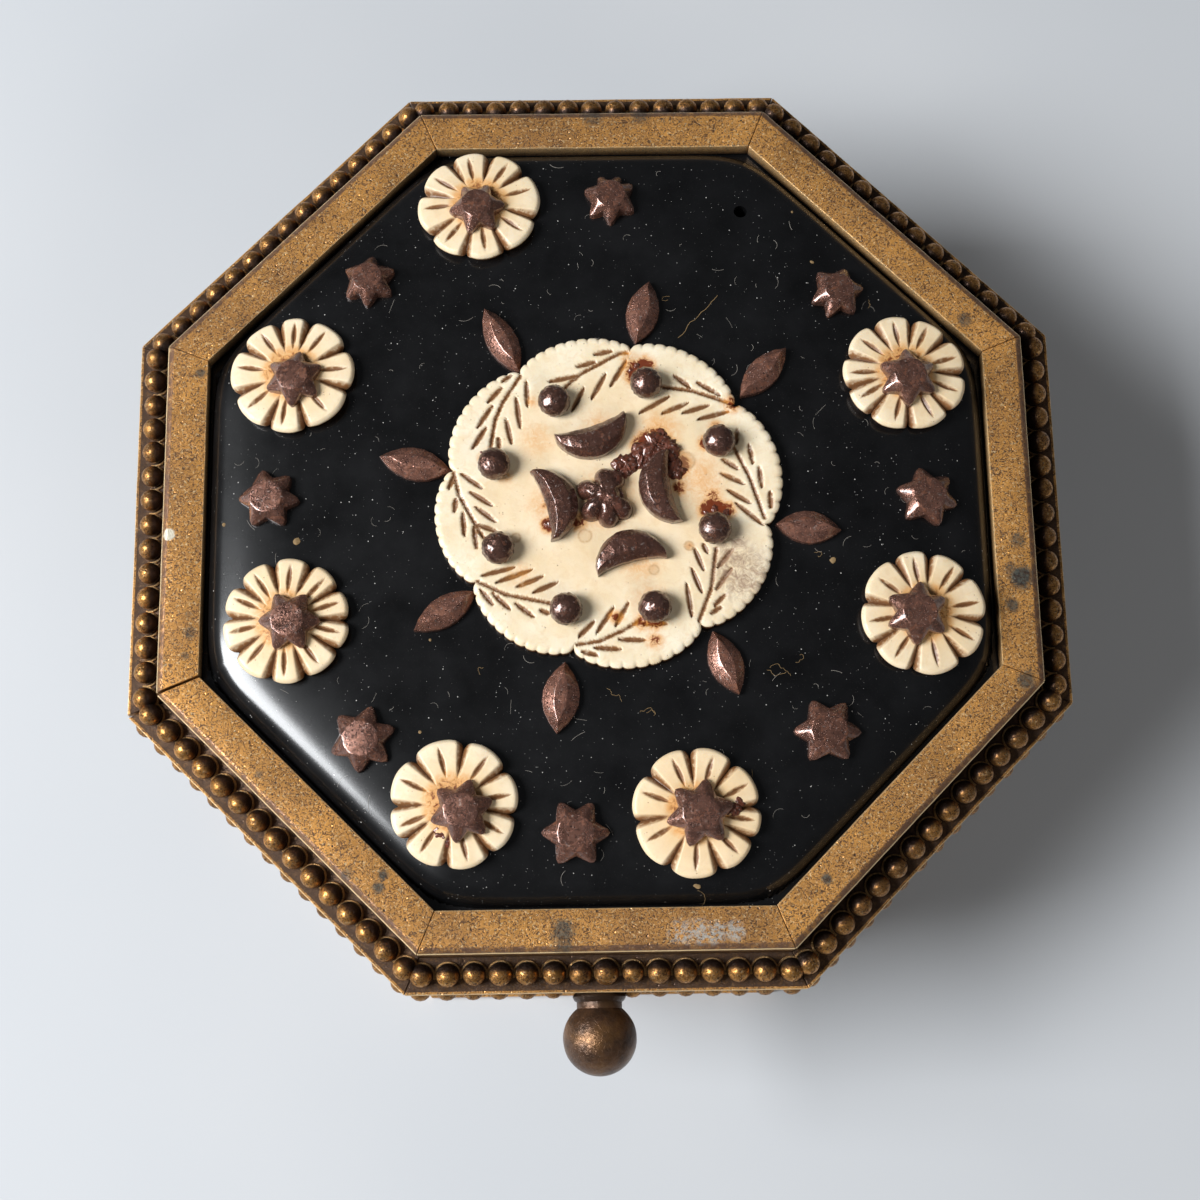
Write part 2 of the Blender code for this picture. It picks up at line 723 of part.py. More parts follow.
def crescent_mesh(name):
    """Crescent along X, its belly bowed towards -Y, with a ridge between two bevels."""
    steps = 6
    middle = (CRESCENT_BELLY + CRESCENT_HOLLOW) / 2.0
    sections = []
    for i in range(steps + 1):
        share = -1.0 + 2.0 * i / steps
        bow = 1.0 - CRESCENT_TAPER * share * share
        x = share * CRESCENT_LENGTH / 2.0
        outer = middle - CRESCENT_BELLY * bow
        inner = middle - CRESCENT_HOLLOW * bow
        ridge = (outer + inner) / 2.0
        edge = CRESCENT_HEIGHT * (0.25 + 0.30 * bow)
        top = CRESCENT_HEIGHT * (0.45 + 0.55 * bow)
        corners = ((outer, 0.0), (outer, edge), (ridge, top), (inner, edge), (inner, 0.0))
        sections.append([Vector((x, y, z)) for y, z in corners])
    points, faces = loft(sections)
    return mesh_from(name, points, faces)


def medallion_outline(z):
    """Shallow lobes with a scalloped edge between the notches that the leaves point to."""
    radius = MEDALLION_DIAMETER / 2.0
    loop = []
    for i, (_, _, start) in enumerate(LEAVES):
        end = LEAVES[(i + 1) % len(LEAVES)][2]
        span = (end - start) % 360.0
        for k in range(2 * SCALLOPS_PER_LOBE):
            share = k / (2.0 * SCALLOPS_PER_LOBE)
            lobe = math.sqrt(math.sin(math.pi * share))
            r = radius * (NOTCH_SHARE + (1.0 - NOTCH_SHARE) * lobe)
            if k % 2 == 0 and k > 0:
                r -= SCALLOP_DEPTH
            point = ring_point(start + span * share, r)
            loop.append(Vector((point.x, point.y, z)))
    return loop


def make_medallion(place):
    points, faces = loft([medallion_outline(0.0), medallion_outline(MEDALLION_THICKNESS)])
    add_object("medallion", mesh_from("medallion", points, faces), carved_ivory("medallion_ivory"), place)


def make_flowers():
    circle = LIP - FLOWER_INSET
    for i, (angle, step, petals, turn) in enumerate(FLOWERS):
        at = ring_point(angle, circle + step * MM)
        place = seat(at.x, at.y, FLOWER_DIAMETER / 2.0, turn)
        number = str(i + 1)
        add_object("flower_" + number, flower_mesh("flower_" + number, petals),
                   carved_ivory("flower_ivory_" + number), place)
        on_top = Matrix.Translation((0.0, 0.0, FLOWER_HUB * FLOWER_THICKNESS + GAP))
        star_turn = Matrix.Rotation(math.radians(FLOWER_STAR_TURNS[i] - turn), 4, "Z")
        add_object("flower_star_" + number,
                   star_mesh("flower_star_" + number, STAR_POINTS, STAR_DIAMETER, STAR_HEIGHT, STAR_TABLE),
                   rusted_steel("flower_star_steel_" + number), place @ on_top @ star_turn)


def make_field_stars():
    circle = LIP - STAR_INSET
    for i, (angle, step, tips, turn) in enumerate(FIELD_STARS):
        at = ring_point(angle, circle + step * MM)
        number = str(i + 1)
        add_object("field_star_" + number,
                   star_mesh("field_star_" + number, tips, STAR_DIAMETER, STAR_HEIGHT, STAR_TABLE),
                   rusted_steel("field_star_steel_" + number),
                   seat(at.x, at.y, STAR_DIAMETER / 2.0, turn))


def make_leaves():
    centre = Vector((MEDALLION_OFFSET_X, MEDALLION_OFFSET_Y, 0.0))
    for i, (angle, turn, _) in enumerate(LEAVES):
        at = centre + ring_point(angle, LEAF_CIRCLE)
        number = str(i + 1)
        add_object("leaf_" + number, leaf_mesh("leaf_" + number), rusted_steel("leaf_steel_" + number),
                   seat(at.x, at.y, LEAF_LENGTH / 2.0, turn))


def make_centre():
    reach = MEDALLION_DIAMETER / 2.0
    place = seat(MEDALLION_OFFSET_X, MEDALLION_OFFSET_Y, reach, 0.0)
    make_medallion(place)
    on_top = Matrix.Translation((0.0, 0.0, MEDALLION_THICKNESS + GAP))
    for i, (angle, step) in enumerate(BALL_STUDS):
        at = ring_point(angle, BALL_STUD_CIRCLE + step * MM)
        number = str(i + 1)
        add_object("ball_stud_" + number, ball_stud_mesh("ball_stud_" + number),
                   rusted_steel("ball_stud_steel_" + number), place @ on_top @ Matrix.Translation(at))
    for i, (angle, step, belly) in enumerate(CRESCENTS):
        at = ring_point(angle, CRESCENT_CIRCLE + step * MM)
        turn = Matrix.Rotation(math.radians(belly + 90.0), 4, "Z")
        number = str(i + 1)
        add_object("crescent_" + number, crescent_mesh("crescent_" + number),
                   rusted_steel("crescent_steel_" + number), place @ on_top @ Matrix.Translation(at) @ turn)
    at = Matrix.Translation((CENTRE_STAR_OFFSET_X, CENTRE_STAR_OFFSET_Y, 0.0))
    turn = Matrix.Rotation(math.radians(CENTRE_STAR_TURN), 4, "Z")
    mesh = star_mesh("centre_star", STAR_POINTS, CENTRE_STAR_DIAMETER, CENTRE_STAR_HEIGHT, CENTRE_STAR_TABLE)
    add_object("centre_star", mesh, rusted_steel("centre_star_steel"), place @ on_top @ at @ turn)


def main():
    clear_scene()
    make_base_body()
    make_mouth_rim()
    make_foot()
    make_lid_moulding()
    make_thumb_ball()
    make_plaque()
    make_flowers()
    make_field_stars()
    make_leaves()
    make_centre()


main()
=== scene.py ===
import math
import random

import bmesh
import bpy
import numpy as np
from mathutils import Matrix, Vector, noise


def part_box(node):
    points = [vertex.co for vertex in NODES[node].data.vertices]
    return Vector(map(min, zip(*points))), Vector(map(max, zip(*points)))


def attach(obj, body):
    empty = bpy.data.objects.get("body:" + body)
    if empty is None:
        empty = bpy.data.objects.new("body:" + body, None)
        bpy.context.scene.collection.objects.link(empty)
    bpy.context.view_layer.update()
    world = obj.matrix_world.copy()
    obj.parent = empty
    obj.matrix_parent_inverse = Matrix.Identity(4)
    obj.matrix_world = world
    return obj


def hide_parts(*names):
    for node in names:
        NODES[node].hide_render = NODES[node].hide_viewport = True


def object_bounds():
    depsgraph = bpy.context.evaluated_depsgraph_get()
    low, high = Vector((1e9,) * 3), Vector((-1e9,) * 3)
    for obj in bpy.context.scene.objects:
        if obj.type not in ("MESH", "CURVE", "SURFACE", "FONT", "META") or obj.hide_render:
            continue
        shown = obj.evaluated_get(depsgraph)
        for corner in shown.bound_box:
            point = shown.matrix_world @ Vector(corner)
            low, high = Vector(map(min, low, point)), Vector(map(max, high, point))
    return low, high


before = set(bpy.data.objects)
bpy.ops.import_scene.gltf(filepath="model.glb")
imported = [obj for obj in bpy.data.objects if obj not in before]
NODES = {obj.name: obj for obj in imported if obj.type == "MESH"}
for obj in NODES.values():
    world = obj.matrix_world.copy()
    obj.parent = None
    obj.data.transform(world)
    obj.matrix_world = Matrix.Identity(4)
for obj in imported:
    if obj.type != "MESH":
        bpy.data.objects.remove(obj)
CAD_LOW, CAD_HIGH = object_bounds()
MM = 0.001


def node_box(name):
    """Lowest and highest corner of a CAD node in mm."""
    low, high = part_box(name)
    return low / MM, high / MM


# Driving dimensions in mm: the solids' own, save for the finer shapes of stars, scallops and crescents
GAP = 0.3
BASE_HEIGHT = 27.7
WALL = 3.2
BAND_ACROSS = 87.0
BAND_WIDTH = 4.15
CHAMFER_WIDTH = 0.55
CHAMFER_DROP = 0.35
RISER = 3.55
LEDGE_FALL = 0.25
FILLET_WIDTH = 0.32
FILLET_HEIGHT = 0.85
COVE_DEPTH = 0.87
SOLE_WIDTH = 0.7
SOLE_HEIGHT = 0.6
LIP_HEIGHT = 1.8
GROOVE_DEPTH = 0.95
SEAT_WIDTH = 0.75
TONGUE_THICKNESS = 1.1
TONGUE_DROP = 1.5
BEAD_DIAMETER = 2.4
BEAD_CHANNEL = 0.55
BEAD_MARGIN = 0.3
PLAQUE_EDGE = 1.2
PLAQUE_THICKNESS = 1.6
ROLL_WIDTH = 1.9
ROLL_RISE = 1.3
SHOULDER_WIDTH = 8.5
SHOULDER_RISE = 2.4
CROWN = 0.8
CORNER_SOFTNESS = 1.1
PIN_HOLE = 1.35
PIN_HOLE_INSET = 4.7
PIN_HOLE_ANGLE = math.radians(64.3)
BALL_DIAMETER = 7.2
BALL_COLLAR = 5.2
BALL_NECK = 4.7
FLOWER_DIAMETER = 12.4
FLOWER_THICKNESS = 1.3
FLOWER_HUB = 1.06
STAR_DIAMETER = 6.2
STAR_HEIGHT = 1.6
STAR_VALLEY = 0.66
LEAF_WIDTH = 3.0
LEAF_HEIGHT = 1.4
MEDALLION_DIAMETER = 34.6
MEDALLION_THICKNESS = 1.2
NOTCH_SHARE = 0.9
SCALLOPS = 11
SCALLOP_DEPTH = 0.20
BALL_STUD_DIAMETER = 3.1
CRESCENT_BELLY = 3.6
CRESCENT_HOLLOW = 0.9
CRESCENT_HEIGHT = 1.9
CRESCENT_TAPER = 0.94
CENTRE_STAR_DIAMETER = 5.6
BEADS_A_SIDE = 15
BEAD_REACH = 17.8
BEAD_SHARE = 0.955
OPEN_MITRE = 0.14
HAIRLINE = 0.035

SIDE_NAMES = ("front", "front_right", "right", "back_right", "back", "back_left", "left", "front_left")
SIDES = len(SIDE_NAMES)
SIDE_ANGLE = 2.0 * math.pi / SIDES
HALF_SIDE = math.tan(SIDE_ANGLE / 2.0)

BAND_TOP = node_box("lid_bar_back")[1].z
SOLE = BASE_HEIGHT + GAP
COVE_BOTTOM = SOLE + SOLE_HEIGHT
LEDGE_TOP = BAND_TOP - CHAMFER_DROP - RISER
LEDGE_LOW = LEDGE_TOP - LEDGE_FALL
COVE_TOP = LEDGE_LOW - FILLET_HEIGHT - COVE_DEPTH / 2.0
COVE_MIDDLE = (COVE_BOTTOM + COVE_TOP) / 2.0
ARRIS = BAND_ACROSS / 2.0
LIP = ARRIS - BAND_WIDTH
GROOVE = LIP + GROOVE_DEPTH
TONGUE_IN = LIP - SEAT_WIDTH
TONGUE_OUT = TONGUE_IN + TONGUE_THICKNESS
MOUTH = TONGUE_OUT + GAP
WALL_OUT = MOUTH + WALL
FILLET = ARRIS + BEAD_CHANNEL + BEAD_DIAMETER + BEAD_MARGIN + FILLET_WIDTH
COVE = FILLET - COVE_DEPTH
GROOVE_TOP = BAND_TOP - LIP_HEIGHT
GROOVE_BOTTOM = GROOVE_TOP - PLAQUE_EDGE - 2.0 * GAP
PLAQUE_OUT = GROOVE - GAP
DOME_EDGE = GROOVE_TOP - GAP

# Places and directions read off the photograph, in its own pixels and degrees
IMAGE = 1200.0
FOCAL = 1971.14
SENSOR = 36.0
TARGET = Vector((-0.05, -9.23, BAND_TOP))
DISTANCE = 194.53
ELEVATION = math.radians(76.46)
AZIMUTH = math.radians(-3.5)
ROLL = math.radians(2.6)

# Flowers: centre, width and height, grooves between petals, thin grooves in the petals
FLOWERS = (
    ((480.4, 213.2), (121, 115), (77, 36, -12, -59, -106, -148, 168, 124),
     (103, 54, 16, -32, -82, -131, -175, 150)),
    ((295.7, 381.3), (120, 115), (105, 71, 27, -14, -76, -116, -161, 151),
     (127, 86, 51, 6, -47, -101, -142, 173)),
    ((289.4, 624.2), (125, 124), (142, 103, 65, 32, 1, -29, -71, -106, -147, 177),
     (124, 84, 46, 18, -13, -53, -91, -131, -167, 157)),
    ((455.6, 805.3), (129, 131), (80, 34, -10, -53, -98, -144, -178, 132),
     (105, 54, 9, -31, -76, -124, -157, 155)),
    ((695.8, 813.5), (126, 127), (97, 53, 6, -25, -68, -117, -171, 141),
     (115, 74, 29, -8, -45, -91, -150, 160)),
    ((920.0, 615.8), (128, 125), (84, 41, -9, -50, -101, -147, 168, 119),
     (102, 57, 10, -30, -76, -123, -170, 144)),
    ((901.4, 378.7), (122, 114), (82, 39, -1, -40, -85, -130, -165, 163, 124),
     (104, 64, 16, -21, -59, -102, -150, -179, 144)),
)
# How far each flower has turned brown
FLOWER_WARMTH = (0.12, 0.16, 0.30, 0.14, 0.42, 0.20, 0.18)
# Stars on the flowers: centre, directions of the tips, reach of the tips
FLOWER_STARS = (
    ((476.9, 206.3), (124, 65, 8, -49, -109, -174), 28.7),
    ((293.3, 377.2), (148, 78, 26, -36, -96, -160), 29.3),
    ((288.1, 620.2), (180, 117, 58, 0, -62, -117), 30.5),
    ((461.1, 810.5), (138, 74, 19, -44, -100, -161), 31.0),
    ((700.8, 812.9), (136, 80, 16, -49, -108, -165), 33.0),
    ((918.7, 612.1), (150, 85, 28, -35, -91, -156), 31.6),
    ((909.1, 375.6), (154, 95, 28, -28, -88, -151), 30.3),
)
FIELD_STARS = (
    ((610.0, 203.0), (161, 116, 68, 32, -27, -88, -140), 28.5),
    ((370.8, 285.9), (153, 81, 24, -30, -94, -144), 28.3),
    ((271.5, 502.3), (180, 102, 47, -3, -60, -123), 31.0),
    ((364.0, 740.4), (136, 74, 19, -42, -96, -156), 32.5),
    ((575.6, 834.0), (179, 118, 61, 1, -57, -120), 33.0),
    ((826.0, 734.0), (180, 117, 57, -2, -53, -120), 33.0),
    ((925.4, 501.6), (164, 106, 42, -16, -67, -133), 31.0),
    ((835.0, 294.0), (135, 70, 8, -49, -108, -159), 28.4),
)
# Leaves: tip and tip, width
LEAVES = (
    ((649, 283), (636, 343), 31),
    ((485, 310), (519, 372), 29),
    ((381, 457), (450, 471), 31),
    ((415, 630), (475, 592), 28),
    ((565, 663), (557, 732), 34),
    ((713, 632), (739, 693), 31),
    ((777, 524), (840, 530), 31),
    ((785, 349), (741, 396), 28),
)
# Reach of each lobe of the medallion as a share of its radius, the notches and the steel on it
LOBE_SHARES = (0.985, 0.967, 0.985, 1.0, 1.0, 1.0, 1.0, 1.0)
NOTCHES = ((631, 346), (520, 373), (451, 470), (475, 582), (573.5, 648), (701, 624), (771, 524.5), (738, 402))
BALL_STUDS = ((554, 401), (646, 383), (719, 441), (715, 528), (655, 607), (566, 609), (498, 548), (494, 464))
CRESCENTS = (
    ((555, 437), (625, 414), -1.0),
    ((534, 470), (555, 539), 1.0),
    ((597, 571), (666, 553), 1.0),
    ((665, 450), (679, 521), -1.0),
)
CENTRE_LOBES = ((604.5, 473), (588.7, 511.8), (609.7, 524), (631.5, 514.2), (619.4, 469.3), (581.5, 486.3))


# Photograph to object

def camera_frame():
    """Eye of the photograph, and its directions to the right, up and forward."""
    back = Vector((math.cos(ELEVATION) * math.sin(AZIMUTH), -math.cos(ELEVATION) * math.cos(AZIMUTH),
                   math.sin(ELEVATION)))
    forward = -back
    right = forward.cross(Vector((0.0, 0.0, 1.0))).normalized()
    up = right.cross(forward)
    turned_right = math.cos(ROLL) * right + math.sin(ROLL) * up
    turned_up = -math.sin(ROLL) * right + math.cos(ROLL) * up
    return TARGET + DISTANCE * back, turned_right, turned_up, forward


EYE, RIGHT, UP, FORWARD = camera_frame()


def pixel_ray(pixel):
    half = IMAGE / 2.0
    return FORWARD + RIGHT * ((pixel[0] - half) / FOCAL) - UP * ((pixel[1] - half) / FOCAL)


def inset_depth(x, y):
    """Distance in from the lip, with the octagon's corners rounded inwards."""
    total = 0.0
    for i in range(SIDES):
        angle = i * SIDE_ANGLE
        total = total + np.exp(-(LIP - (x * math.cos(angle) + y * math.sin(angle))) / CORNER_SOFTNESS)
    return np.maximum(0.0, -CORNER_SOFTNESS * np.log(total))


def quarter_round(share):
    share = np.clip(share, 0.0, 1.0)
    return np.sqrt(1.0 - (1.0 - share) ** 2)


def dome_height(x, y):
    """Height of the plaque's top: a rolled edge, a shoulder and a slight crown."""
    depth = np.maximum(0.0, inset_depth(x, y) - GAP)
    middle = np.maximum(0.0, 1.0 - (x * x + y * y) / (LIP * LIP))
    crown = CROWN * middle * np.minimum(1.0, depth / SHOULDER_WIDTH)
    return (DOME_EDGE + ROLL_RISE * quarter_round(depth / ROLL_WIDTH)
            + SHOULDER_RISE * quarter_round(depth / SHOULDER_WIDTH) + crown)


def on_dome(pixel, lift=0.0):
    """Point of the dome, raised by a lift, that shows at a pixel."""
    ray = pixel_ray(pixel)
    point = Vector((0.0, 0.0, BAND_TOP))
    for _ in range(8):
        height = float(dome_height(point.x, point.y)) + lift
        point = EYE + ray * ((height - EYE.z) / ray.z)
    return point


def on_level(pixel, z):
    """Point of a level plane that shows at a pixel."""
    ray = pixel_ray(pixel)
    return EYE + ray * ((z - EYE.z) / ray.z)


def in_place(pixel, place, level=0.0):
    """Where a pixel falls on a level of a placed piece, in the piece's own frame."""
    back = place.inverted()
    start = back @ EYE
    way = back.to_3x3() @ pixel_ray(pixel)
    return start + way * ((level - start.z) / way.z)


def way_in_place(centre, degrees, place, level=0.0):
    """Direction of an image angle about a pixel, in radians in the piece's own frame."""
    reach = 30.0
    angle = math.radians(degrees)
    tip = (centre[0] + reach * math.cos(angle), centre[1] - reach * math.sin(angle))
    step = in_place(tip, place, level) - in_place(centre, place, level)
    return math.atan2(step.y, step.x)


def seat(x, y, reach, turn=0.0):
    """Place of an ornament that rests on the dome."""
    step = reach / 2.0
    slope_x = float(dome_height(x + step, y) - dome_height(x - step, y)) / (2.0 * step)
    slope_y = float(dome_height(x, y + step) - dome_height(x, y - step)) / (2.0 * step)
    lift = -1000.0
    ways = 16
    for share in (0.0, 0.35, 0.7, 1.0):
        for i in range(ways):
            angle = 2.0 * math.pi * i / ways
            dx = share * reach * math.cos(angle)
            dy = share * reach * math.sin(angle)
            lift = max(lift, float(dome_height(x + dx, y + dy)) - slope_x * dx - slope_y * dy)
    normal = Vector((-slope_x, -slope_y, 1.0)).normalized()
    tilt = Vector((0.0, 0.0, 1.0)).rotation_difference(normal).to_matrix().to_4x4()
    return Matrix.Translation((x, y, lift)) @ tilt @ Matrix.Rotation(turn, 4, "Z")


def centre_of(name):
    low, high = node_box(name)
    return (low + high) / 2.0


# Mesh helpers

def linked(name, data):
    """New object of some data, in the scene."""
    item = bpy.data.objects.new(name, data)
    bpy.context.scene.collection.objects.link(item)
    return item


def piece(name, points, faces, material, sharp=32.0, attributes=None):
    """Object made of points in mm, riding on the box."""
    mesh = bpy.data.meshes.new(name)
    mesh.from_pydata((np.asarray(points, float) * MM).tolist(), [], faces)
    form = bmesh.new()
    form.from_mesh(mesh)
    bmesh.ops.recalc_face_normals(form, faces=form.faces)
    form.to_mesh(mesh)
    form.free()
    for key, values in (attributes or {}).items():
        layer = mesh.attributes.new(key, "FLOAT", "POINT")
        layer.data.foreach_set("value", np.asarray(values, np.float32))
    mesh.materials.append(material)
    mesh.polygons.foreach_set("use_smooth", [True] * len(mesh.polygons))
    mesh.set_sharp_from_angle(angle=math.radians(sharp))
    item = linked(name, mesh)
    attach(item, "root")
    return item


def grid_faces(rows, columns, start=0):
    """Faces between rows of points whose columns close into rings."""
    faces = []
    for r in range(rows - 1):
        a = start + r * columns
        b = a + columns
        for c in range(columns):
            k = (c + 1) % columns
            faces.append((a + c, a + k, b + k, b + c))
    return faces


def smooth_step(share):
    share = np.clip(share, 0.0, 1.0)
    return share * share * (3.0 - 2.0 * share)


def rounded(section, steps=3):
    """Closed section of (out, height, rounding) corners, with each corner rounded off."""
    loop = []
    count = len(section)
    for i, (out, z, radius) in enumerate(section):
        here = Vector((out, z))
        if radius <= 0.0:
            loop.append(here)
            continue
        before = Vector(section[i - 1][:2]) - here
        after = Vector(section[(i + 1) % count][:2]) - here
        start = here + before.normalized() * min(radius, before.length * 0.45)
        end = here + after.normalized() * min(radius, after.length * 0.45)
        for k in range(steps + 1):
            t = k / steps
            loop.append(start * (1 - t) ** 2 + here * 2 * t * (1 - t) + end * t * t)
    return loop


def shrunk(loop, amount):
    """The same section moved in by an amount along its normals."""
    count = len(loop)
    area = sum(loop[i - 1].x * loop[i].y - loop[i].x * loop[i - 1].y for i in range(count))
    sign = 1.0 if area > 0 else -1.0
    moved = []
    for i, here in enumerate(loop):
        tangent = loop[(i + 1) % count] - loop[i - 1]
        tangent.normalize()
        moved.append(here + Vector((-tangent.y, tangent.x)) * amount * sign)
    return moved


def ball_points(centre, radius, squash, columns=16, rows=9):
    """Small sphere as points and faces, flattened by a share along Z."""
    points = [(centre[0], centre[1], centre[2] + radius * squash)]
    for r in range(1, rows):
        tilt = math.pi * r / rows
        for c in range(columns):
            turn = 2.0 * math.pi * c / columns
            points.append((centre[0] + radius * math.sin(tilt) * math.cos(turn),
                           centre[1] + radius * math.sin(tilt) * math.sin(turn),
                           centre[2] + radius * squash * math.cos(tilt)))
    points.append((centre[0], centre[1], centre[2] - radius * squash))
    faces = []
    last = 1 + (rows - 2) * columns
    for c in range(columns):
        k = (c + 1) % columns
        faces.append((0, 1 + c, 1 + k))
        faces.append((last + c, len(points) - 1, last + k))
    faces += [tuple(reversed(f)) for f in grid_faces(rows - 1, columns, 1)]
    return points, faces


def tube(path, radius, sides=6):
    """Thin closed tube along a path of points."""
    points = []
    count = len(path)
    for i, here in enumerate(path):
        ahead = path[min(i + 1, count - 1)] - path[max(i - 1, 0)]
        ahead.normalize()
        across = ahead.cross(Vector((0.0, 0.0, 1.0)))
        across = across.normalized() if across.length > 1e-6 else Vector((1.0, 0.0, 0.0))
        rise = across.cross(ahead)
        for c in range(sides):
            angle = 2.0 * math.pi * c / sides
            points.append(here + radius * (across * math.cos(angle) + rise * math.sin(angle)))
    faces = grid_faces(count, sides)
    faces.append(tuple(range(sides)))
    faces.append(tuple(range((count - 1) * sides, count * sides)))
    return points, faces


class Parts:
    """Points, faces and point values gathered into one mesh."""

    def __init__(self, *keys):
        self.points = []
        self.faces = []
        self.values = {key: [] for key in keys}

    def take(self, points, faces, **values):
        start = len(self.points)
        self.points.extend(tuple(p) for p in points)
        self.faces.extend(tuple(start + i for i in face) for face in faces)
        for key, kept in self.values.items():
            value = values.get(key, 0.0)
            kept.extend(value if hasattr(value, "__len__") else [value] * len(points))


# Finishes

# Size in mm of the ragged edge of a mark
MARK_GRAIN = 10.0 / 9.0


class Paint:
    """Node material, with short names for the nodes that the finishes use."""

    def __init__(self, name):
        self.material = bpy.data.materials.new(name)
        self.material.use_nodes = True
        self.tree = self.material.node_tree
        self.shader = self.tree.nodes["Principled BSDF"]
        self.normal = None

    def fill(self, item, inputs):
        """Gives a node's inputs their values or links."""
        for key, value in inputs.items():
            if isinstance(value, bpy.types.NodeSocket):
                self.tree.links.new(value, item.inputs[key])
            else:
                item.inputs[key].default_value = value

    def shade(self, inputs):
        self.fill(self.shader, inputs)

    def add(self, kind, inputs, **properties):
        """New node with its properties and its inputs set."""
        item = self.tree.nodes.new(kind)
        for key, value in properties.items():
            setattr(item, key, value)
        self.fill(item, inputs)
        return item

    def place(self):
        return self.add("ShaderNodeTexCoord", {}).outputs["Object"]

    def attribute(self, name):
        return self.add("ShaderNodeAttribute", {}, attribute_name=name).outputs["Fac"]

    def grain(self, size, detail=3.0, roughness=0.55, distortion=0.0):
        """Noise with features of about a size in mm."""
        inputs = {"Vector": self.place(), "Scale": 1.0 / (size * MM), "Detail": detail, "Roughness": roughness,
                  "Distortion": distortion}
        return self.add("ShaderNodeTexNoise", inputs).outputs["Fac"]

    def ramp(self, value, low, high):
        """Value spread from 0 at low to 1 at high."""
        inputs = {"Value": value, "From Min": low, "From Max": high}
        return self.add("ShaderNodeMapRange", inputs, clamp=True).outputs["Result"]

    def patches(self, low, high, size, *grain):
        """Share that goes from 0 to 1 between two levels of a grain."""
        return self.ramp(self.grain(size, *grain), low, high)

    def flecks(self, low, high, size, feature="F1"):
        """Share that goes from 0 to 1 between two distances in cells of a size in mm."""
        item = self.add("ShaderNodeTexVoronoi", {"Vector": self.place(), "Scale": 1.0 / (size * MM)}, feature=feature)
        return self.ramp(item.outputs["Distance"], low, high)

    def maths(self, operation, a, b=0.0, c=0.0):
        return self.add("ShaderNodeMath", {0: a, 1: b, 2: c}, operation=operation).outputs[0]

    def times(self, a, b):
        return self.maths("MULTIPLY", a, b)

    def plus(self, a, b):
        return self.maths("ADD", a, b)

    def most(self, *shares):
        """Largest of several shares."""
        total = shares[0]
        for share in shares[1:]:
            total = self.maths("MAXIMUM", total, share)
        return total

    def mix(self, share, a, b):
        """Colour that goes from a to b with a share."""
        a, b = (c if isinstance(c, bpy.types.NodeSocket) else (*c, 1.0) for c in (a, b))
        return self.add("ShaderNodeMix", {0: share, 6: a, 7: b}, data_type="RGBA").outputs[2]

    def relief(self, height, depth, strength):
        """Adds relief of a depth in mm to what the surface already has."""
        inputs = {"Height": height, "Distance": depth * MM, "Strength": strength}
        if self.normal is not None:
            inputs["Normal"] = self.normal
        self.normal = self.add("ShaderNodeBump", inputs).outputs["Normal"]
        self.shade({"Normal": self.normal})

    def mark(self, place, radius, blur):
        """1 within a radius in mm of a place, fading over a share of it, with a ragged edge."""
        ragged = self.grain(MARK_GRAIN, 3.0, 0.5)
        away = self.add("ShaderNodeVectorMath", {0: self.place(), 1: tuple(place * MM)}, operation="DISTANCE")
        reach = self.maths("MULTIPLY_ADD", ragged, 0.9 * radius * MM, away.outputs["Value"])
        return self.ramp(reach, radius * MM * (1.45 + blur), radius * MM * (1.45 - blur))


GILT = (0.90, 0.43, 0.105)
GILT_PALE = (1.0, 0.76, 0.42)
GILT_BROWN = (0.075, 0.036, 0.018)
GILT_UMBER = (0.20, 0.095, 0.030)
GILT_PURPLE = (0.135, 0.072, 0.048)
SPECK_AND_SHADE_BLACK = (0.030, 0.022, 0.020)
VERDIGRIS = (0.075, 0.085, 0.075)
RESIDUE = (0.42, 0.41, 0.38)
FLECK = (0.72, 0.66, 0.52)
BALL_BROWN = (0.125, 0.064, 0.034)
BALL_DARK = (0.046, 0.026, 0.017)
BALL_SCRATCH = (0.30, 0.20, 0.13)
BALL_GOLD = (0.22, 0.105, 0.035)
BALL_NECK_SHADE = (0.030, 0.018, 0.012)
BALL_SPECK = (0.06, 0.03, 0.02)
SHELL_BLACK = (0.0018, 0.0018, 0.0020)
SHELL_BLOOM = (0.0062, 0.0062, 0.0068)
DUST = (0.55, 0.53, 0.50)
HAZE = (0.20, 0.18, 0.15)
CREAM = (0.74, 0.61, 0.41)
CREAM_PALE = (0.82, 0.73, 0.56)
CREAM_BROWN = (0.72, 0.47, 0.22)
CREAM_MOTTLE = (0.66, 0.46, 0.25)
CUT_BROWN = (0.235, 0.105, 0.038)
CUT_BED = (0.095, 0.042, 0.018)
RUST_OCHRE = (0.66, 0.27, 0.040)
RUST_RED = (0.150, 0.026, 0.005)
SMUDGE_BROWN = (0.33, 0.22, 0.15)
DROP_BROWN = (0.45, 0.27, 0.13)
PORE = (0.25, 0.13, 0.06)
STEEL_LIGHT = (0.175, 0.082, 0.057)
STEEL_SHADE = (0.066, 0.031, 0.023)
STEEL_PATCH = (0.17, 0.060, 0.026)
STEEL_RUST = (0.155, 0.031, 0.010)
STEEL_FINE = (0.125, 0.052, 0.034)
STEEL_GLINT = (0.46, 0.41, 0.38)
STEEL_PIT = (0.022, 0.010, 0.009)
LINT_GREY = (0.34, 0.31, 0.27)
LINT_TAN = (0.26, 0.165, 0.07)
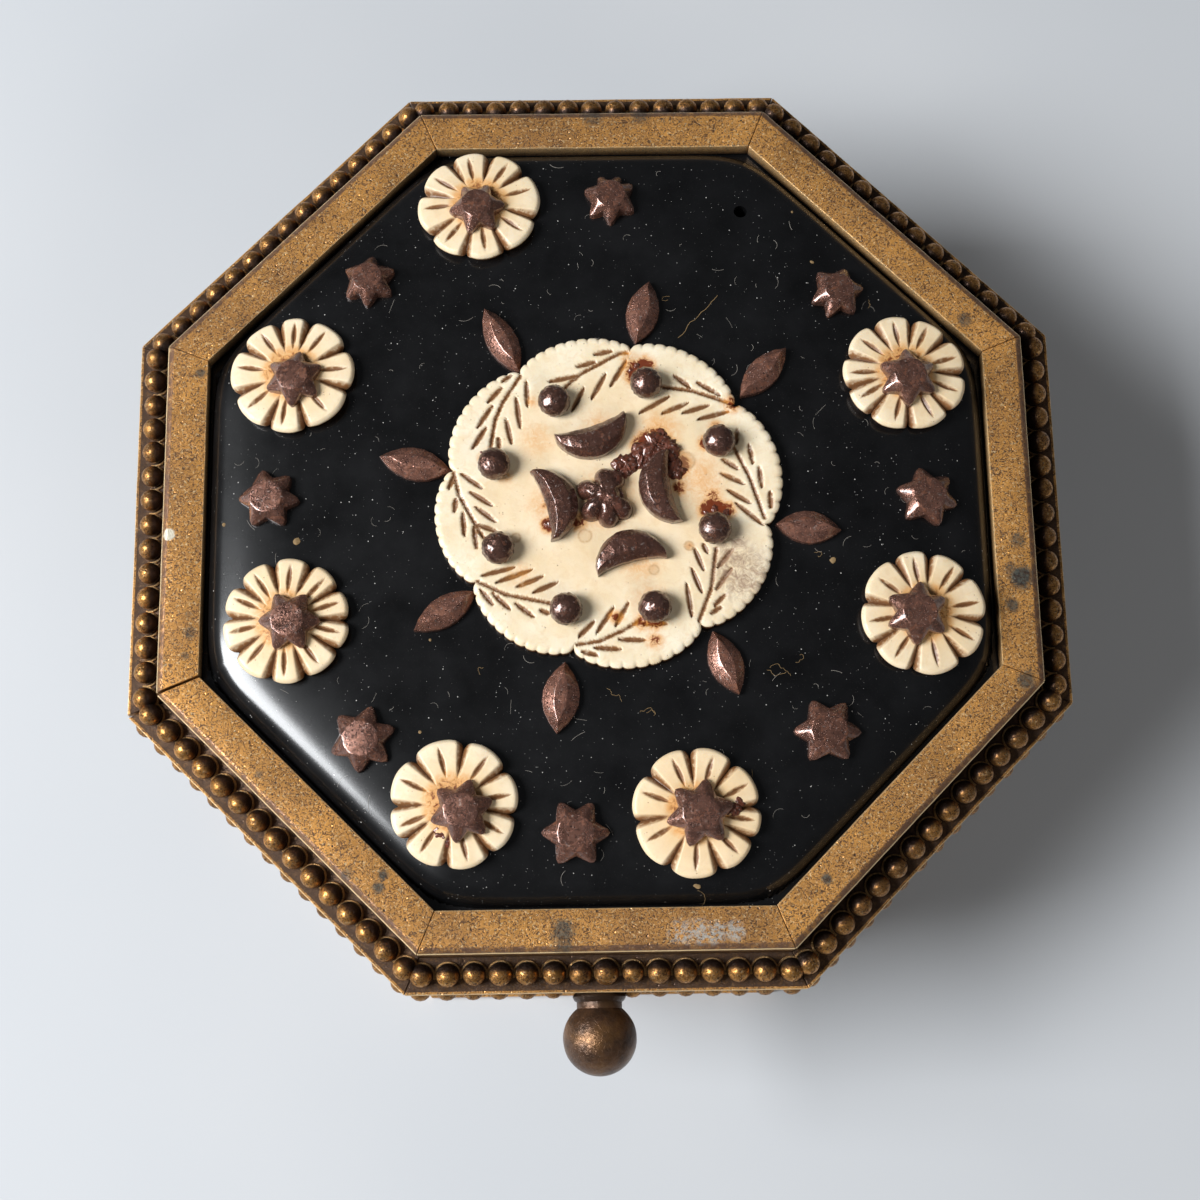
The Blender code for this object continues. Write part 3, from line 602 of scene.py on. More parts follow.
# Corrosion on the bands: pixel, radius in mm, depth of colour
BAND_SPOTS = (
    ((1018, 540), 0.75, 0.7), ((1011, 568), 0.6, 0.6), ((1021, 577), 1.15, 0.95), ((1013, 605), 0.65, 0.8),
    ((1026, 680), 0.9, 0.8), ((965, 320), 0.7, 0.7), ((827, 879), 0.5, 0.9), ((201, 373), 0.5, 0.8),
    ((593, 117), 1.1, 0.6), ((641, 116), 0.9, 0.6), ((563, 932), 1.1, 0.8), ((563, 944), 0.9, 0.7),
    ((383, 875), 0.55, 0.9), ((379, 888), 0.6, 0.85), ((259, 774), 0.35, 0.6), ((190, 632), 0.55, 0.6),
    ((185, 656), 0.4, 0.7), ((188, 614), 0.35, 0.5), ((346, 874), 0.6, 0.6),
)
# Pale residue on the front band, and the white fleck on the left one: pixel, radius in mm
BAND_RESIDUE = (((682, 932), 1.15), ((699, 931), 1.1), ((716, 932), 1.05), ((735, 932), 0.9))
BAND_FLECK = ((169, 535), 0.62)


def band_marks(paint, colour, rough):
    """Corrosion, residue and fleck of the lid's bands, laid over a colour and a roughness."""
    ring = paint.most(*(paint.times(paint.mark(on_level(pixel, BAND_TOP), radius, 0.35), depth)
                        for pixel, radius, depth in BAND_SPOTS))
    colour = paint.mix(ring, colour, paint.mix(paint.patches(0.4, 0.6, 0.4), SPECK_AND_SHADE_BLACK, VERDIGRIS))
    pale = paint.most(*(paint.mark(on_level(pixel, BAND_TOP), radius, 0.3) for pixel, radius in BAND_RESIDUE))
    broken = paint.times(pale, paint.patches(0.46, 0.56, 0.45, 4.0, 0.8))
    colour = paint.mix(paint.times(broken, 0.85), colour, RESIDUE)
    colour = paint.mix(paint.mark(on_level(BAND_FLECK[0], BAND_TOP), BAND_FLECK[1], 0.15), colour, FLECK)
    return colour, paint.plus(rough, paint.times(paint.most(ring, pale), 0.25))


def gilt_material(name, brown, speckle, marked):
    """Worn gilt: golden fields with fine dark specks, brown patina with painted shade in the hollows, and rubbed pale
    edges with a painted highlight.
    """
    paint = Paint(name)
    stained = paint.patches(0.30, 0.72, 6.0, 4.0, 0.6)
    colour = paint.mix(paint.times(stained, 0.30 + 0.5 * brown), GILT, GILT_UMBER)
    cloud = paint.patches(0.48, 0.72, 13.0, 3.0, 0.6)
    colour = paint.mix(paint.times(cloud, 0.45), colour, GILT_PURPLE)
    worm = paint.patches(0.50, 0.58, 0.42, 3.0, 0.65, 2.5)
    colour = paint.mix(paint.times(worm, speckle), colour, GILT_BROWN)
    glint = paint.patches(0.58, 0.68, 0.26, 2.0, 0.6)
    colour = paint.mix(paint.times(glint, 0.5), colour, GILT_PALE)
    specks = paint.flecks(0.17, 0.09, 0.8)
    colour = paint.mix(paint.times(specks, paint.patches(0.46, 0.60, 3.2, 2.0)), colour, SPECK_AND_SHADE_BLACK)
    tarnish = paint.times(paint.attribute("tarnish"), paint.patches(0.2, 0.55, 0.9, 4.0, 0.7))
    colour = paint.mix(tarnish, colour, GILT_PURPLE)
    hollow = paint.attribute("hollow")
    # Brown patina with painted shade: recesses, undersides and the beads' shaded side are darker.
    colour = paint.mix(paint.times(hollow, paint.patches(-0.25, 0.5, 0.5, 3.0, 0.65)), colour, GILT_BROWN)
    # Painted shade: the darkest of these go near black, as on the beads' shaded side and on the ledge under them.
    colour = paint.mix(paint.times(paint.ramp(hollow, 0.80, 1.0), 0.85), colour, SPECK_AND_SHADE_BLACK)
    # Rubbed gilt and a painted highlight: the arris, lip and fillet edges go pale.
    colour = paint.mix(paint.attribute("rubbed"), colour, GILT_PALE)
    rough = paint.maths("MULTIPLY_ADD", worm, 0.22, 0.33)
    if marked:
        colour, rough = band_marks(paint, colour, rough)
    metal = paint.maths("MULTIPLY_ADD", paint.attribute("bright"), 0.35, 0.55)
    paint.shade({"Base Color": colour, "Metallic": metal, "Roughness": rough})
    paint.relief(paint.grain(2.0, 3.0, 0.5), 0.08, 0.6)
    paint.relief(worm, -0.02, 0.8)
    paint.relief(specks, -0.05, 0.7)
    return paint.material


def ball_material(name):
    """Rubbed brown brass with crossing scratches, with painted shade darkening the neck."""
    paint = Paint(name)
    colour = paint.mix(paint.patches(0.35, 0.68, 1.7, 5.0, 0.65), BALL_BROWN, BALL_DARK)
    scratches = paint.flecks(0.04, 0.0, 0.7, "DISTANCE_TO_EDGE")
    colour = paint.mix(paint.times(scratches, 0.16), colour, BALL_SCRATCH)
    golden = paint.patches(0.46, 0.66, 3.5, 3.0, 0.6)
    colour = paint.mix(paint.times(golden, 0.6), colour, BALL_GOLD)
    # Painted shade at the neck, next to the collar.
    colour = paint.mix(paint.times(paint.attribute("hollow"), 0.85), colour, BALL_NECK_SHADE)
    specks = paint.patches(0.6, 0.72, 0.3, 3.0, 0.75)
    colour = paint.mix(specks, colour, BALL_SPECK)
    rough = paint.plus(0.30, paint.times(specks, 0.3))
    paint.shade({"Base Color": colour, "Metallic": 0.6, "Roughness": rough})
    paint.relief(paint.grain(0.5, 4.0, 0.7, 0.8), 0.09, 1.0)
    return paint.material


def shell_material(name, dusty):
    """Polished black shell under a clear gloss, with a dull bloom and two sizes of dust."""
    paint = Paint(name)
    bloom = paint.patches(0.3, 0.75, 6.0, 4.0, 0.6)
    motes = paint.times(paint.flecks(0.105, 0.06, 0.75), paint.patches(0.52, 0.6, 1.3, 2.0))
    fine = paint.times(paint.flecks(0.085, 0.05, 0.5), paint.patches(0.40, 0.60, 2.6, 3.0))
    dust = paint.times(paint.most(motes, fine), dusty)
    colour = paint.mix(dust, paint.mix(bloom, SHELL_BLACK, SHELL_BLOOM), DUST)
    haze = paint.patches(0.66, 0.76, 0.14, 2.0, 0.8)
    paint.shade({
        "Base Color": paint.mix(paint.times(haze, 0.10 * dusty), colour, HAZE),
        "Roughness": paint.plus(0.30, paint.times(bloom, 0.14)),
        "Specular IOR Level": 0.12,
        "Coat Weight": 1.0,
        "Coat Roughness": 0.16,
        "Coat IOR": 1.5,
    })
    paint.relief(paint.grain(3.0, 2.0, 0.5), 0.02, 0.5)
    paint.relief(dust, 0.05, 1.0)
    return paint.material


def ivory_material(name):
    """Cream carved slice: brown in the cuts and down its sides, with pores and stains."""
    paint = Paint(name)
    cream = paint.mix(paint.patches(0.3, 0.7, 3.5, 3.0, 0.5), CREAM, CREAM_PALE)
    colour = paint.mix(paint.attribute("warm"), cream, CREAM_BROWN)
    mottle = paint.patches(0.46, 0.68, 0.9, 5.0, 0.7, 0.8)
    colour = paint.mix(paint.times(mottle, 0.42), colour, CREAM_MOTTLE)
    cut = paint.attribute("cut")
    uneven = paint.times(cut, paint.patches(0.15, 0.55, 0.5, 3.0, 0.6))
    colour = paint.mix(paint.ramp(uneven, 0.0, 0.6), colour, CUT_BROWN)
    colour = paint.mix(paint.times(paint.ramp(cut, 0.6, 1.0), 0.7), colour, CUT_BED)
    blotch = paint.maths("MULTIPLY_ADD", paint.patches(0.30, 0.60, 0.6, 4.0, 0.7, 1.0), 0.8, 0.45)
    rusty = paint.ramp(paint.times(paint.attribute("rust"), blotch), 0.10, 0.62)
    colour = paint.mix(rusty, colour, paint.mix(paint.ramp(rusty, 0.62, 1.0), RUST_OCHRE, RUST_RED))
    smudge = paint.times(paint.attribute("smudge"), paint.patches(0.36, 0.60, 1.1, 5.0, 0.75, 1.5))
    colour = paint.mix(smudge, colour, SMUDGE_BROWN)
    colour = paint.mix(paint.times(paint.attribute("drop"), 0.75), colour, DROP_BROWN)
    pits = paint.times(paint.flecks(0.16, 0.09, 0.42), paint.patches(0.55, 0.66, 1.1, 2.0))
    paint.shade({
        "Base Color": paint.mix(paint.times(pits, 0.75), colour, PORE),
        "Roughness": paint.plus(0.38, paint.times(mottle, 0.2)),
        "Specular IOR Level": 0.45,
        "Subsurface Weight": 0.12,
        "Subsurface Radius": (0.0009, 0.0006, 0.0003),
    })
    paint.relief(pits, -0.05, 0.8)
    paint.relief(paint.grain(0.6, 4.0, 0.6), 0.03, 0.7)
    return paint.material


def steel_material(name, rust_share, tint, coarse):
    """Cut steel gone dark, maroon-brown with rust in patches and pits, and a hard thin gloss."""
    paint = Paint(name)
    light, shade = (tuple(tint * c for c in tone) for tone in (STEEL_LIGHT, STEEL_SHADE))
    colour = paint.mix(paint.patches(0.3, 0.7, 1.2, 4.0, 0.65), light, shade)
    rusted = paint.patches(0.66 - 0.25 * rust_share, 0.78 - 0.2 * rust_share, 0.8, 4.0, 0.7, 0.6)
    colour = paint.mix(rusted, colour, STEEL_PATCH)
    crusty = paint.times(paint.attribute("rust"), paint.patches(0.25, 0.6, 0.35, 4.0, 0.7))
    colour = paint.mix(crusty, colour, STEEL_RUST)
    fine = paint.patches(0.44, 0.60, 0.26, 3.0, 0.7)
    colour = paint.mix(paint.times(fine, 0.30 * coarse), colour, STEEL_FINE)
    glint = paint.patches(0.64, 0.69, 0.32, 2.0, 0.6)
    colour = paint.mix(paint.times(glint, 0.45), colour, STEEL_GLINT)
    pits = paint.patches(0.56, 0.68, 0.22, 3.0, 0.75)
    rough = paint.plus(0.18, paint.times(rusted, 0.35))
    paint.shade({
        "Base Color": paint.mix(pits, colour, STEEL_PIT),
        "Metallic": paint.maths("SUBTRACT", 0.60, paint.times(paint.most(rusted, crusty), 0.5)),
        "Roughness": paint.plus(rough, paint.times(crusty, 0.3)),
        "Coat Weight": 0.7,
        "Coat Roughness": 0.13,
        "Coat IOR": 1.6,
    })
    paint.relief(paint.grain(0.36, 4.0, 0.75), 0.05 * coarse, 0.8)
    paint.relief(pits, -0.04 * coarse, 0.8)
    return paint.material


def lint_material(name, colour):
    paint = Paint(name)
    shade = tuple(0.6 * c for c in colour)
    paint.shade({"Base Color": paint.mix(paint.patches(0.3, 0.7, 0.4, 2.0), colour, shade), "Roughness": 0.8})
    return paint.material


LID_GILT = gilt_material("worn_gilt_lid", 0.5, 0.95, True)
BASE_GILT = gilt_material("worn_gilt_base", 0.8, 0.75, False)
BALL_BRASS = ball_material("rubbed_brass_ball")
PLAQUE_SHELL = shell_material("black_shell_plaque", 1.0)
BASE_SHELL = shell_material("black_shell_base", 0.35)
IVORY = ivory_material("carved_ivory")
STEEL = steel_material("cut_steel", 0.5, 1.55, 1.2)
STEEL_DARK = steel_material("cut_steel_dark", 0.35, 0.85, 1.5)
STEEL_LEAF = steel_material("cut_steel_leaf", 0.6, 2.3, 1.1)
STEEL_CRUST = steel_material("rust_crust", 0.2, 0.7, 1.0)


# Octagonal mouldings

GILT_KEYS = ("hollow", "tarnish", "rubbed", "bright")
END_EASE = 0.05
BAR_STEPS = 26
BAR_STATIONS = [-1.0, -0.996] + [-0.97 + 1.94 * k / BAR_STEPS for k in range(BAR_STEPS + 1)] + [0.996, 1.0]
RING_STEPS = 20
# Front beads that are larger and smaller than the rest
ODD_BEADS = {(0, 7): 1.1, (0, 8): 0.93}


def side_point(side, along, out, z):
    """Place along and out from a side of the octagon, side 0 at the front."""
    angle = side * SIDE_ANGLE
    return (along * math.cos(angle) + out * math.sin(angle), along * math.sin(angle) - out * math.cos(angle), z)


def bar_section():
    """Corners of a lid bar's section: out, height, rounding."""
    return (
        (LIP, BAND_TOP, 0.14),
        (ARRIS - CHAMFER_WIDTH, BAND_TOP, 0.16),
        (ARRIS, BAND_TOP - CHAMFER_DROP, 0.16),
        (ARRIS, LEDGE_TOP, 0.12),
        (FILLET - FILLET_WIDTH, LEDGE_LOW, 0.06),
        (FILLET, LEDGE_LOW, 0.10),
        (FILLET, LEDGE_LOW - FILLET_HEIGHT, 0.12),
        (COVE, COVE_TOP, 0.25),
        (COVE, COVE_BOTTOM, 0.18),
        (COVE + SOLE_WIDTH, COVE_BOTTOM, 0.12),
        (COVE + SOLE_WIDTH, SOLE, 0.08),
        (TONGUE_OUT, SOLE, 0.0),
        (TONGUE_OUT, SOLE - TONGUE_DROP, 0.1),
        (TONGUE_IN, SOLE - TONGUE_DROP, 0.1),
        (TONGUE_IN, GROOVE_BOTTOM, 0.0),
        (GROOVE, GROOVE_BOTTOM, 0.0),
        (GROOVE, GROOVE_TOP, 0.0),
        (LIP, GROOVE_TOP, 0.10),
    )


def mitre_trim(side, end):
    """Half the gap at an end of a side: the joint between left and front-left stands open."""
    joint = side if end > 0 else (side - 1) % SIDES
    return OPEN_MITRE if SIDE_NAMES[joint] == "left" else HAIRLINE


def bar_run(parts, side, section, values, trims):
    """Sweeps a section along a side between its mitres, with its end edges eased."""
    count = len(section)
    ends = (0, len(BAR_STATIONS) - 1)
    eased_end = shrunk(section, END_EASE)
    points = []
    for n, share in enumerate(BAR_STATIONS):
        trim = trims[0] if share < 0 else trims[1]
        for i, p in enumerate(eased_end if n in ends else section):
            along = share * (p.x * HALF_SIDE - trim)
            wave = 0.045 * noise.noise(Vector((along * 0.35, side * 7.3, 0.3 * i / count)))
            dent = 0.02 * noise.noise(Vector((along * 1.1, side * 5.1 + p.x, p.y)))
            points.append(side_point(side, along, p.x + dent, p.y + wave + dent))
    faces = grid_faces(len(BAR_STATIONS), count)
    faces.append(tuple(range(count)))
    faces.append(tuple(range(len(points) - count, len(points))))
    parts.take(points, faces, **{key: list(value) * len(BAR_STATIONS) for key, value in values.items()})


def bar_values(section):
    """Shares of patina with painted shade, tarnish, and rubbed gilt with a painted highlight for each corner of the
    rounded section.
    """
    values = {"hollow": [], "tarnish": [], "rubbed": []}
    for p in section:
        on_top = p.y > BAND_TOP - 0.6
        on_ledge = p.y > LEDGE_LOW - 0.03 and p.x < FILLET - 0.27 and not on_top
        below = p.y < LEDGE_LOW - FILLET_HEIGHT + 0.1
        chamfer = on_top and p.x > ARRIS - CHAMFER_WIDTH - 0.12
        arris = p.x > ARRIS - 0.09 and abs(p.y - (BAND_TOP - CHAMFER_DROP)) < 0.15
        lip = p.x < LIP + 0.1 and p.y > BAND_TOP - 0.2
        fillet = p.x > FILLET - 0.08 and not below
        # Painted shade with patina: the ledge under the beads and the underside below the fillet are darker.
        values["hollow"].append(0.91 if on_ledge else 0.8 if below else 0.0 if on_top else 0.25)
        values["tarnish"].append(0.9 if chamfer else 0.12)
        # Rubbed gilt with a painted highlight on the arris, the lip and the fillet's edge.
        values["rubbed"].append(0.85 if arris else 0.3 if lip else 0.5 if fillet else 0.0)
    return values


def bead_places(reach):
    return [reach * (2.0 * k / (BEADS_A_SIDE - 1) - 1.0) for k in range(BEADS_A_SIDE)]


def seat_arc(parts, side, along, out, radius):
    """Thin raised line that runs round the back of a bead."""
    path = []
    steps = 12
    for k in range(steps + 1):
        angle = math.radians(-15.0 + 210.0 * k / steps)
        y = out - radius * math.sin(angle)
        fall = LEDGE_FALL * (y - ARRIS) / (FILLET - ARRIS)
        path.append(Vector(side_point(side, along + radius * math.cos(angle), y, LEDGE_TOP - fall + 0.12)))
    parts.take(*tube(path, 0.13), hollow=0.45, rubbed=0.2, bright=1.0)


def bead_shade(points, side, out, z, radius):
    """Painted shade share of a bead's points: darker low down and towards the band, where shade falls."""
    way = Vector(side_point(side, 0.0, 1.0, 0.0))
    shades = []
    for p in points:
        inward = (out - way.x * p[0] - way.y * p[1]) / radius
        low = (z + 0.25 * radius - p[2]) / (0.9 * radius)
        # Painted shade: darker low on the bead and on its side towards the band.
        shades.append(0.40 + 0.60 * smooth_step(max(low, 0.42 + 1.3 * inward)))
    return shades


def make_bar(side):
    """Lid bar with its two rows of beads, each bead a little out of place."""
    name = SIDE_NAMES[side]
    chance = random.Random(100 + side)
    parts = Parts(*GILT_KEYS)
    section = rounded(bar_section())
    bar_run(parts, side, section, bar_values(section), (mitre_trim(side, -1), mitre_trim(side, 1)))
    upper_out = ARRIS + BEAD_CHANNEL + BEAD_DIAMETER / 2.0
    radius = BEAD_SHARE * BEAD_DIAMETER / 2.0
    lower_out = CAD_HIGH.y / MM - radius
    for k, along in enumerate(bead_places(BEAD_REACH)):
        r = radius * chance.uniform(0.965, 1.015)
        if (side, k) in ODD_BEADS:
            r = radius * ODD_BEADS[side, k]
        x = along + chance.uniform(-0.05, 0.05)
        out = upper_out + chance.uniform(-0.05, 0.05)
        z = LEDGE_LOW + 0.82 * radius + chance.uniform(-0.05, 0.05)
        points, faces = ball_points(side_point(side, x, out, z), r, 0.97)
        parts.take(points, faces, hollow=bead_shade(points, side, out, z, r), bright=1.0)
        seat_arc(parts, side, x, out, r + 0.12)
    ball_room = (BALL_COLLAR + BEAD_DIAMETER) / 2.0 - 0.5
    for along in bead_places(BEAD_REACH + 0.4):
        if side == 0 and abs(along - centre_of("thumb_ball").x) < ball_room:
            continue
        r = radius * chance.uniform(0.96, 1.01)
        x = along + chance.uniform(-0.06, 0.06)
        points, faces = ball_points(side_point(side, x, lower_out, COVE_MIDDLE), r, 1.0)
        # Painted shade: each lower bead is darker towards its bottom, in the cove under the fillet.
        shade = [0.55 + 0.45 * max(0.0, min(1.0, (COVE_MIDDLE - p[2]) / r)) for p in points]
        parts.take(points, faces, hollow=shade, bright=0.6)
    item = piece("lid_bar_%s_worn" % name, parts.points, parts.faces, LID_GILT,
                 attributes=parts.values)
    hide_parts("lid_bar_" + name)


def octagon_ring(name, corners, node, hollow_of):
    """Gilt moulding that runs round the box with crisp mitres and eased edges."""
    parts = Parts(*GILT_KEYS)
    section = rounded(corners)
    count = len(section)
    rows = SIDES * RING_STEPS
    points = []
    for side in range(SIDES):
        for step in range(RING_STEPS):
            for p in section:
                along = p.x * HALF_SIDE * (2.0 * (step / RING_STEPS) - 1.0)
                dent = 0.02 * noise.noise(Vector((along * 0.6, side * 3.1 + 0.4 * p.x, p.y)))
                points.append(side_point(side, along, p.x + dent, p.y))
    faces = grid_faces(rows, count)
    last = (rows - 1) * count
    for i in range(count):
        k = (i + 1) % count
        faces.append((last + i, last + k, k, i))
    parts.take(points, faces, hollow=[hollow_of(p) for p in section] * rows)
    item = piece(name, parts.points, parts.faces, BASE_GILT, attributes=parts.values)
    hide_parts(node)


def make_base():
    """Mouth rim and foot with curved sections; the walls keep their solid."""
    low, high = node_box("base_mouth_rim")
    rim_low, rim_top, rim_out = low.z, high.z, high.x
    rim = (
        (MOUTH, rim_low, 0.1), (WALL_OUT + 0.45, rim_low, 0.15), (WALL_OUT + 0.6, rim_low + 0.45, 0.2),
        (WALL_OUT + 0.75, rim_low + 0.95, 0.3), (WALL_OUT + 1.35, rim_low + 1.6, 0.5),
        (rim_out - 0.75, rim_low + 1.95, 0.3), (rim_out - 0.5, rim_low + 2.1, 0.1),
        (rim_out, rim_top - 0.85, 0.25), (rim_out, rim_top, 0.25), (MOUTH, rim_top, 0.15),
    )
    # Painted shade with patina: the rim's underside and inner face are darker.
    octagon_ring("base_mouth_rim_worn", rim, "base_mouth_rim",
                 lambda p: 0.8 if p.x < rim_out - 0.7 and p.y < rim_top - 0.8 else 0.1)
    high = node_box("foot_moulding")[1]
    top, outer = high.z, high.x
    inner = WALL_OUT + 0.02
    neck = inner + 1.25
    foot = (
        (inner, 0.0, 0.0), (outer, 0.0, 0.2), (outer, 1.35, 0.3), (outer - 0.45, 1.6, 0.1), (outer - 0.6, 1.85, 0.15),
        (outer - 0.95, 2.6, 0.5), (neck + 0.05, 3.35, 0.4), (neck - 0.05, top - 0.75, 0.1),
        (neck + 0.12, top - 0.6, 0.1), (neck + 0.12, top, 0.22), (inner, top, 0.1),
    )
    # Painted shade with patina: the foot's hollow above its lowest band is darker.
    octagon_ring("foot_moulding_worn", foot, "foot_moulding",
                 lambda p: 0.75 if 1.5 < p.y < top - 0.6 and p.x < outer - 0.3 else 0.1)
    body = NODES["base_body"]
    body.data.materials.clear()
    body.data.materials.append(BASE_SHELL)
    ease = body.modifiers.new("eased_edges", "BEVEL")
    ease.width = 0.25 * MM
    ease.segments = 3
    ease.limit_method = "ANGLE"


def make_ball():
    """Thumb ball turned about the front-to-back line, dented and worn."""
    low, high = node_box("thumb_ball")
    middle = (low + high) / 2.0
    radius = BALL_DIAMETER / 2.0
    collar_radius = BALL_COLLAR / 2.0
    collar = FILLET + 0.02
    root = COVE - 0.4
    tip = -low.y
    neck = BALL_NECK / 2.0
    throat = neck * 0.94
    profile = [(root, 1.5), (COVE + 0.4, 1.5), (collar - 0.15, 2.3), (collar + 0.05, collar_radius - 0.1),
               (collar + 0.3, collar_radius), (collar + 0.55, collar_radius - 0.12), (collar + 0.68, neck + 0.05),
               (collar + 0.8, throat)]
    steps = 30
    start = math.pi - math.asin(throat / radius)
    for i in range(steps):
        angle = start * (1.0 - i / steps)
        profile.append((tip - radius + radius * math.cos(angle), radius * math.sin(angle)))
    around = 56
    points = []
    for out, r in profile:
        for c in range(around):
            turn = 2.0 * math.pi * c / around
            x = r * math.cos(turn)
            z = r * math.sin(turn)
            wear = 1.0 + 0.012 * noise.noise(Vector((x * 0.7, out * 0.7, z * 0.7)))
            points.append((middle.x + wear * x, -out, middle.z + wear * z))
    faces = grid_faces(len(profile), around)
    last = (len(profile) - 1) * around
    points.append((middle.x, -tip, middle.z))
    points.append((middle.x, -root, middle.z))
    for c in range(around):
        k = (c + 1) % around
        faces.append((last + c, len(points) - 2, last + k))
        faces.append((k, len(points) - 1, c))
    # Painted shade: the neck next to the collar is darker.
    dark = [1.0 - smooth_step((-p[1] - collar - 0.5) / 1.1) for p in points]
    item = piece("thumb_ball_worn", points, faces, BALL_BRASS, attributes={"hollow": dark})
    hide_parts("thumb_ball")


# Plaque

# Rings of the underside, out from the middle, inside the flat that sits on the tongue
UNDER_RINGS = (34.0, 30.0, 24.0, 16.0, 8.0)
PLAQUE_STEPS = 48
PLAQUE_EYE = 0.35


def dome_ring(ring, out, z=None, drop=0.0):
    """Octagonal ring of points at a distance out, at a height or a drop below the dome."""
    xy = ring * out
    height = dome_height(xy[:, 0], xy[:, 1]) - drop if z is None else np.full(len(xy), z)
    return np.column_stack([xy, height])


def drilled(item, at, diameter, depth):
    """Cuts a round hole through an object and keeps the cut mesh."""
    form = bmesh.new()
    bmesh.ops.create_cone(form, cap_ends=True, segments=28, radius1=diameter / 2.0 * MM, radius2=diameter / 2.0 * MM,
                          depth=depth * MM)
    bmesh.ops.translate(form, verts=form.verts, vec=at * MM)
    drill = bpy.data.meshes.new("pin_hole")
    form.to_mesh(drill)
    form.free()
    cutter = linked("pin_hole", drill)
    cut = item.modifiers.new("pin_hole", "BOOLEAN")
    cut.operation = "DIFFERENCE"
    cut.solver = "EXACT"
    cut.object = cutter
    bpy.context.view_layer.update()
    mesh = bpy.data.meshes.new_from_object(item.evaluated_get(bpy.context.evaluated_depsgraph_get()))
    item.modifiers.clear()
    item.data = mesh
    bpy.data.objects.remove(cutter, do_unlink=True)


def make_plaque():
    """Domed shell with a fine surface, its edge in the groove and the lost flower's pin hole through it."""
    edge = LIP - GAP
    depth = 0.0
    depths = []
    while depth < edge:
        depth += 0.09 if depth < ROLL_WIDTH + 0.6 else (0.4 if depth < SHOULDER_WIDTH else 0.8)
        depths.append(min(depth, edge - PLAQUE_EYE))
    ring = np.array([side_point(side, HALF_SIDE * (2.0 * k / PLAQUE_STEPS - 1.0), 1.0, 0.0)[:2]
                     for side in range(SIDES) for k in range(PLAQUE_STEPS)])
    stack = [dome_ring(ring, out, drop=PLAQUE_THICKNESS) for out in reversed(UNDER_RINGS)]
    stack += [dome_ring(ring, out, DOME_EDGE - PLAQUE_EDGE) for out in (TONGUE_IN - GAP, PLAQUE_OUT)]
    stack += [dome_ring(ring, out, DOME_EDGE) for out in (PLAQUE_OUT, edge)]
    stack += [dome_ring(ring, edge - d) for d in depths]
    columns = len(ring)
    faces = grid_faces(len(stack), columns)
    low = len(stack) * columns
    top = float(dome_height(0.0, 0.0))
    points = np.vstack(stack + [[[0.0, 0.0, top - PLAQUE_THICKNESS], [0.0, 0.0, top]]])
    for c in range(columns):
        k = (c + 1) % columns
        faces.append((k, c, low))
        faces.append((low - columns + c, low - columns + k, low + 1))
    item = piece("lid_plaque_fine", points, faces, PLAQUE_SHELL, sharp=40.0)
    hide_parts("lid_plaque")
    reach = LIP - PIN_HOLE_INSET
    x = reach * math.cos(PIN_HOLE_ANGLE)
    y = reach * math.sin(PIN_HOLE_ANGLE)
    drilled(item, Vector((x, y, float(dome_height(x, y)))), PIN_HOLE, 6.0)


# Ivory slices

def disc_points(place, radius, theta, z):
    """Ring of points in a placed disc's frame, carried to the box's."""
    local = np.stack([radius * np.cos(theta), radius * np.sin(theta), z, np.ones_like(theta)])
    return (np.array(place) @ local)[:3].T


def slice_piece(name, node, place, radius, theta, shares, top, values, undercut):
    """Carved slice: rings of top points out to a rim, sides that turn under, and a foot on the dome.

    Each of the values has a function of the radius share for the top, and one number for the sides.
    """
    around = len(theta)
    rim = top(shares[-1])
    rows = [disc_points(place, radius * share, theta, top(share)) for share in shares]
    rows += [disc_points(place, radius - inward, theta, rim * level) for inward, level in undercut]
    foot = disc_points(place, radius - undercut[-1][0] - 0.1, theta, np.zeros(around))
    centre = disc_points(place, 0.0, theta[:1], top(0.0)[:1])
    middle = centre.copy()
    for low in (foot, middle):
        low[:, 2] = dome_height(low[:, 0], low[:, 1]) - 0.05
    points = np.vstack(rows + [foot, centre, middle])
    faces = grid_faces(len(rows) + 1, around)
    last = len(rows) * around
    for c in range(around):
        k = (c + 1) % around
        faces.append((k, c, last + around))
        faces.append((last + c, last + k, last + around + 1))
    marks = {}
    for key, (of, side) in values.items():
        sides = np.full(around * (len(undercut) + 1), side)
        marks[key] = np.concatenate([of(share) for share in shares] + [sides, of(0.0)[:1], [side]])
    item = piece(name, points, faces, IVORY, sharp=60.0, attributes=marks)
    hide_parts(node)


